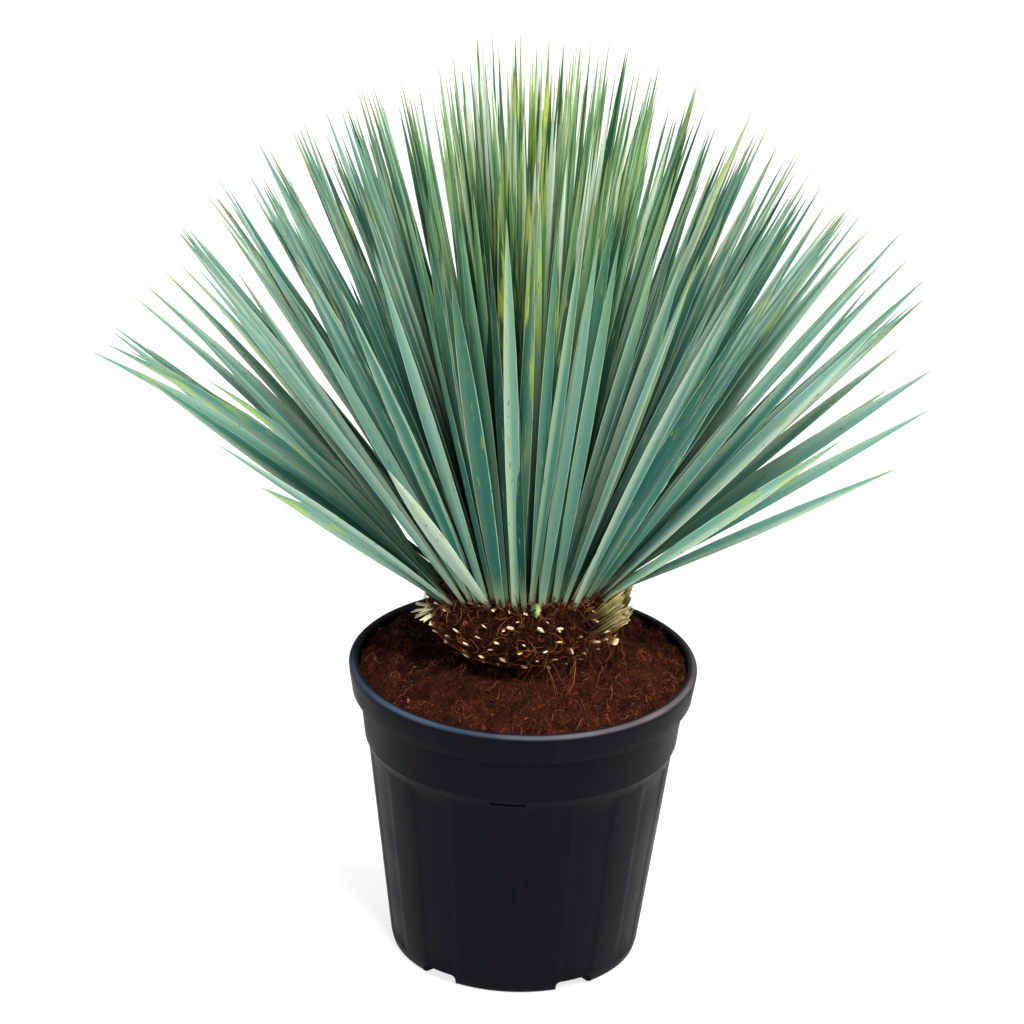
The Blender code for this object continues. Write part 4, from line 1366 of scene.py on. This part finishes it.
def leaves():
    """Every leaf of the head, each with its own tone (partly painted shade), youth, share of yellow and depth in the
    head, which sets its painted shadow.
    """
    draw = random.Random(9)
    master = leaf_master()
    rings = leaf_rings(master)
    mark_leaf(master, rings)
    made = []
    for i, leaf in enumerate(head_leaves()):
        lean = side_lean(leaf["aim"])
        leaf["root"] -= Vector((0, 0, 0.005)) * frontness(leaf) * draw.random()
        upper = 1 - smooth_share(leaf["polar"], 24, 44)
        outer = smooth_share(abs(lean), 12, 38)
        # The tone is partly the leaf's own colour and partly painted shade: darker on average up top, drawn to a
        # middle tone at the sides, capped at the front, and darker in one narrow band of lean.
        tone = draw.random() ** (1.15 + 0.35 * upper)
        tone += (0.66 - tone) * 0.55 * outer
        tone = min(tone, 1 - 0.3 * frontness(leaf))
        if draw.random() < 0.28 * upper and abs(lean) < 13 and frontness(leaf) < 0.3:
            tone = 1.3
            leaf["width"] *= 0.8
        elif -8.5 < lean < -4.4:
            tone *= 1 - 0.6 * upper
        youth = (1 - smooth_share(abs(lean), 9, 22)) * draw.uniform(0.7, 1.0) * upper
        gold = draw.random() * 0.4
        if draw.random() < (0.8 if -4.4 < lean < 0.6 and upper > 0.4 else 0.05):
            gold = draw.uniform(0.8, 1.0)
        # Painted shadow: leaves rooted deep in the head get a darker lower part, less so towards the sides.
        depth = smooth_share(leaf_zone(leaf["azimuth"]) - leaf["polar"] + draw.uniform(-2, 2), 0.5, 9)
        depth *= 1 - 0.90 * smooth_share(abs(lean), 18, 46)
        made.append(copied(master, f"leaf_{i}", leaf_places(leaf, rings), tone=leaf.get("tone", tone),
                           youth=youth, gold=leaf.get("gold", gold), depth=depth))
    bpy.data.objects.remove(master)
    whole = joined("leaves", made)
    smooth(whole, 50)
    return whole


def leaf_finish():
    """Waxy blue-green leaf: fine lines, a painted highlight on one half, painted light towards the tip and painted
    shadow low on leaves deep in the head, pale and yellow margins, flecks, brown tip.
    """
    made, tree, shader = new_finish("leaf_skin", 0.5, 0.10)
    map_place = put(tree, "UVMap", uv_map="leaf").outputs[0]
    axes = put(tree, "SeparateXYZ", {0: map_place}).outputs
    share = axes["Y"]
    tone, youth, gold, depth = [
        put(tree, "Attribute", attribute_name=name).outputs["Fac"] for name in ("tone", "youth", "gold", "depth")]
    seed = maths(tree, "MULTIPLY", maths(tree, "ADD", tone, gold), 61.0)
    flip = maths(tree, "GREATER_THAN", maths(tree, "FRACT", seed), 0.5)
    mirrored = maths(tree, "SUBTRACT", 1.0, axes["X"])
    across = put(tree, "Mix", {0: flip, 2: axes["X"], 3: mirrored}, data_type="FLOAT").outputs[0]
    own = put(tree, "CombineXYZ", {0: across, 1: share, 2: seed}).outputs[0]

    teal = blend(tree, span(tree, tone, 0.0, 0.4), srgb(8, 60, 50), srgb(38, 100, 89))
    teal = blend(tree, span(tree, tone, 0.4, 0.78), teal, srgb(92, 135, 124))
    teal = blend(tree, span(tree, tone, 0.75, 1.0), teal, srgb(142, 162, 148))
    green = blend(tree, span(tree, tone, 0.0, 0.5), srgb(0, 54, 14), srgb(44, 116, 44))
    green = blend(tree, span(tree, tone, 0.5, 1.0), green, srgb(134, 180, 104))
    skin = blend(tree, maths(tree, "MULTIPLY", youth, span(tree, share, 0.5, 0.85, 0.03, 1.0)), teal, green)
    milky = maths(tree, "MULTIPLY", span(tree, tone, 1.0, 1.3), span(tree, share, 0.4, 0.75))
    skin = blend(tree, milky, skin, srgb(210, 226, 208))
    # Painted light: paler towards the tip, less so on dark leaves.
    outward_light = maths(tree, "MULTIPLY", span(tree, share, 0.3, 0.85, 0.0, 0.13), span(tree, tone, 0.1, 0.5, 0.2, 1.0))
    skin = blend(tree, outward_light, skin, srgb(160, 186, 170))

    strength = maths(tree, "FRACT", maths(tree, "MULTIPLY", seed, 3.7))
    # Painted highlight: one half of each leaf, chosen per leaf, is paler, as if lit across its fold.
    half_highlight = maths(tree, "MULTIPLY", span(tree, tone, 0.0, 0.7, 0.04, 1.0), span(tree, strength, 0, 1, 0.22, 0.86))
    half = maths(tree, "MULTIPLY", span(tree, across, 0.36, 0.84), half_highlight)
    lit = blend(tree, youth, srgb(176, 190, 168), srgb(138, 178, 108))
    skin = blend(tree, half, skin, lit)
    skin = blend(tree, maths(tree, "MULTIPLY", youth, 0.22), skin, srgb(14, 56, 14))
    lines = cloud(tree, stretched(tree, own, (34, 2.2, 1)), 1.0, 3.0, 0.6)
    skin = blend(tree, span(tree, lines, 0.38, 0.7, 0.0, 0.3), skin, srgb(24, 74, 66))

    edge = maths(tree, "ABSOLUTE", maths(tree, "SUBTRACT", across, 0.5))
    patch = cloud(tree, stretched(tree, own, (2.0, 9.0, 1)), 1.0, 2.0, 0.5)
    rim = blend(tree, span(tree, patch, 0.48, 0.66), srgb(206, 222, 200), srgb(168, 182, 84))
    skin = blend(tree, maths(tree, "MULTIPLY", span(tree, edge, 0.42, 0.485), 0.4), skin, rim)
    wash = maths(tree, "MULTIPLY", span(tree, patch, 0.45, 0.68), span(tree, gold, 0.2, 1.0, 0.0, 0.95))
    high = span(tree, share, 0.48, 0.76, 0.2, 1.0)
    skin = blend(tree, maths(tree, "MULTIPLY", wash, high), skin, srgb(150, 170, 58))
    streaks = cloud(tree, stretched(tree, own, (4.0, 13.0, 3.0)), 1.0, 2.0, 0.5)
    skin = blend(tree, span(tree, streaks, 0.62, 0.70, 0.0, 0.6), skin, srgb(122, 136, 52))
    flecks = cloud(tree, stretched(tree, own, (5.0, 34.0, 5.0)), 1.0, 2.0, 0.5)
    skin = blend(tree, span(tree, flecks, 0.67, 0.73, 0.0, 0.8), skin, srgb(84, 78, 30))

    root = span(tree, share, 0.0, 0.13, 1.0, 0.0)
    skin = blend(tree, maths(tree, "MULTIPLY", root, 0.45), skin, srgb(168, 180, 128))
    shadow = maths(tree, "MULTIPLY", span(tree, share, 0.18, 0.80, 0.97, 0.0), depth)
    skin = blend(tree, shadow, skin, srgb(0, 40, 34))
    foot = span(tree, share, 0.008, 0.026, 1.0, 0.0)
    skin = blend(tree, maths(tree, "MULTIPLY", foot, 0.7), skin, srgb(138, 112, 60))
    dry = blend(tree, span(tree, strength, 0.2, 0.8), srgb(70, 92, 44), srgb(128, 136, 76))
    dried = span(tree, maths(tree, "ADD", share, maths(tree, "MULTIPLY", strength, 0.12)), 0.96, 1.08, 0.0, 0.75)
    skin = blend(tree, dried, skin, dry)
    skin = blend(tree, span(tree, share, 0.97, 0.995, 0.0, 0.85), skin, srgb(84, 66, 36))

    ridges = put(tree, "Bump", {"Strength": 0.4, "Distance": 0.0003, "Height": lines})
    tree.links.new(skin, shader.inputs["Base Color"])
    tree.links.new(span(tree, patch, 0.3, 0.7, 0.38, 0.52), shader.inputs["Roughness"])
    tree.links.new(ridges.outputs[0], shader.inputs["Normal"])
    return made


# Stage

def floor():
    bpy.ops.object.select_all(action="DESELECT")
    bpy.ops.mesh.primitive_plane_add(size=30, location=(0, 6, -0.0002))
    made = added("floor")
    finish, tree, shader = new_finish("pale_floor", 0.9, 0.1)
    shader.inputs["Base Color"].default_value = (0.38, 0.38, 0.38, 1)
    shader.inputs["Emission Color"].default_value = (1, 1, 1, 1)
    shader.inputs["Emission Strength"].default_value = 0.74
    made.data.materials.append(finish)


def soft_light(name, place, aim, size, power, colour=(1, 1, 1)):
    lamp = bpy.data.lights.new(name, "AREA")
    lamp.shape = "DISK"
    lamp.size = size
    lamp.energy = power
    lamp.color = colour
    made = bpy.data.objects.new(name, lamp)
    bpy.context.scene.collection.objects.link(made)
    made.location = place
    made.rotation_euler = (Vector(aim) - Vector(place)).to_track_quat("-Z", "Y").to_euler()


def lights():
    world = bpy.data.worlds.new("soft_room")
    world.use_nodes = True
    world.node_tree.nodes["Background"].inputs["Color"].default_value = (0.92, 0.96, 1.0, 1)
    world.node_tree.nodes["Background"].inputs["Strength"].default_value = 0.36
    bpy.context.scene.world = world
    soft_light("low_fill", (-1.9, -2.2, 0.9), (0, 0, 0.4), 1.2, 34, (0.96, 0.99, 1.0))
    soft_light("key", (0.4, -1.6, 3.1), (0, 0, 0.4), 0.9, 165, (1.0, 0.99, 0.96))
    soft_light("top", (0.6, 1.2, 3.3), (0, 0, 0.4), 1.6, 55)
    soft_light("side", (2.8, -0.2, 1.3), (0, 0, 0.3), 1.0, 94, (1.0, 0.92, 0.82))


def camera():
    """The camera of the photograph: a long lens from the front and above, turned a little."""
    distance, height = 3.7024, 2.0356
    pitch, yaw, roll = 0.4204, -0.0035, 0.0332
    focal_share = 4.99585
    ahead = Vector((math.sin(yaw) * math.cos(pitch), math.cos(yaw) * math.cos(pitch), -math.sin(pitch)))
    level = Vector((math.cos(yaw), -math.sin(yaw), 0))
    up = level.cross(ahead)
    right = math.cos(roll) * level + math.sin(roll) * up
    above = -math.sin(roll) * level + math.cos(roll) * up
    lens = bpy.data.cameras.new("photo_view")
    lens.sensor_width = 36
    lens.lens = 36 * focal_share
    lens.clip_end = 100
    made = bpy.data.objects.new("photo_view", lens)
    bpy.context.scene.collection.objects.link(made)
    turn = Matrix((right, above, -ahead)).transposed().to_4x4()
    made.matrix_world = Matrix.Translation((0, -distance, height)) @ turn
    bpy.context.scene.camera = made


camera()
MOTTLE = mottle_group()
STRANDS = strands_group()
dress(nursery_pot(), pot_finish(), "pot", "pot")
dress(compost(), compost_finish(), "soil", "soil")
COIR = fibre_finish("coir", srgb(20, 8, 4), srgb(68, 28, 16), srgb(164, 92, 52))
dress(compost_fibres(), COIR, "soil")
dress(crumbs(), fibre_finish("crumb", srgb(24, 10, 6), srgb(58, 26, 15), srgb(104, 58, 36)), "soil")
dress(stump(), stump_finish(), "trunk", "trunk")
dress(cut_leaf_bases(), base_finish(), "trunk", "trunk")
dress(green_bud(), bud_finish(), "trunk")
dress(stump_fibres(), fibre_finish("stump_strand", srgb(22, 8, 3), srgb(60, 26, 11), srgb(160, 92, 46)), "trunk")
dress(leaves(), leaf_finish(), "leaves", "leaf_head")
floor()
lights()
bpy.context.scene.view_settings.view_transform = "Standard"
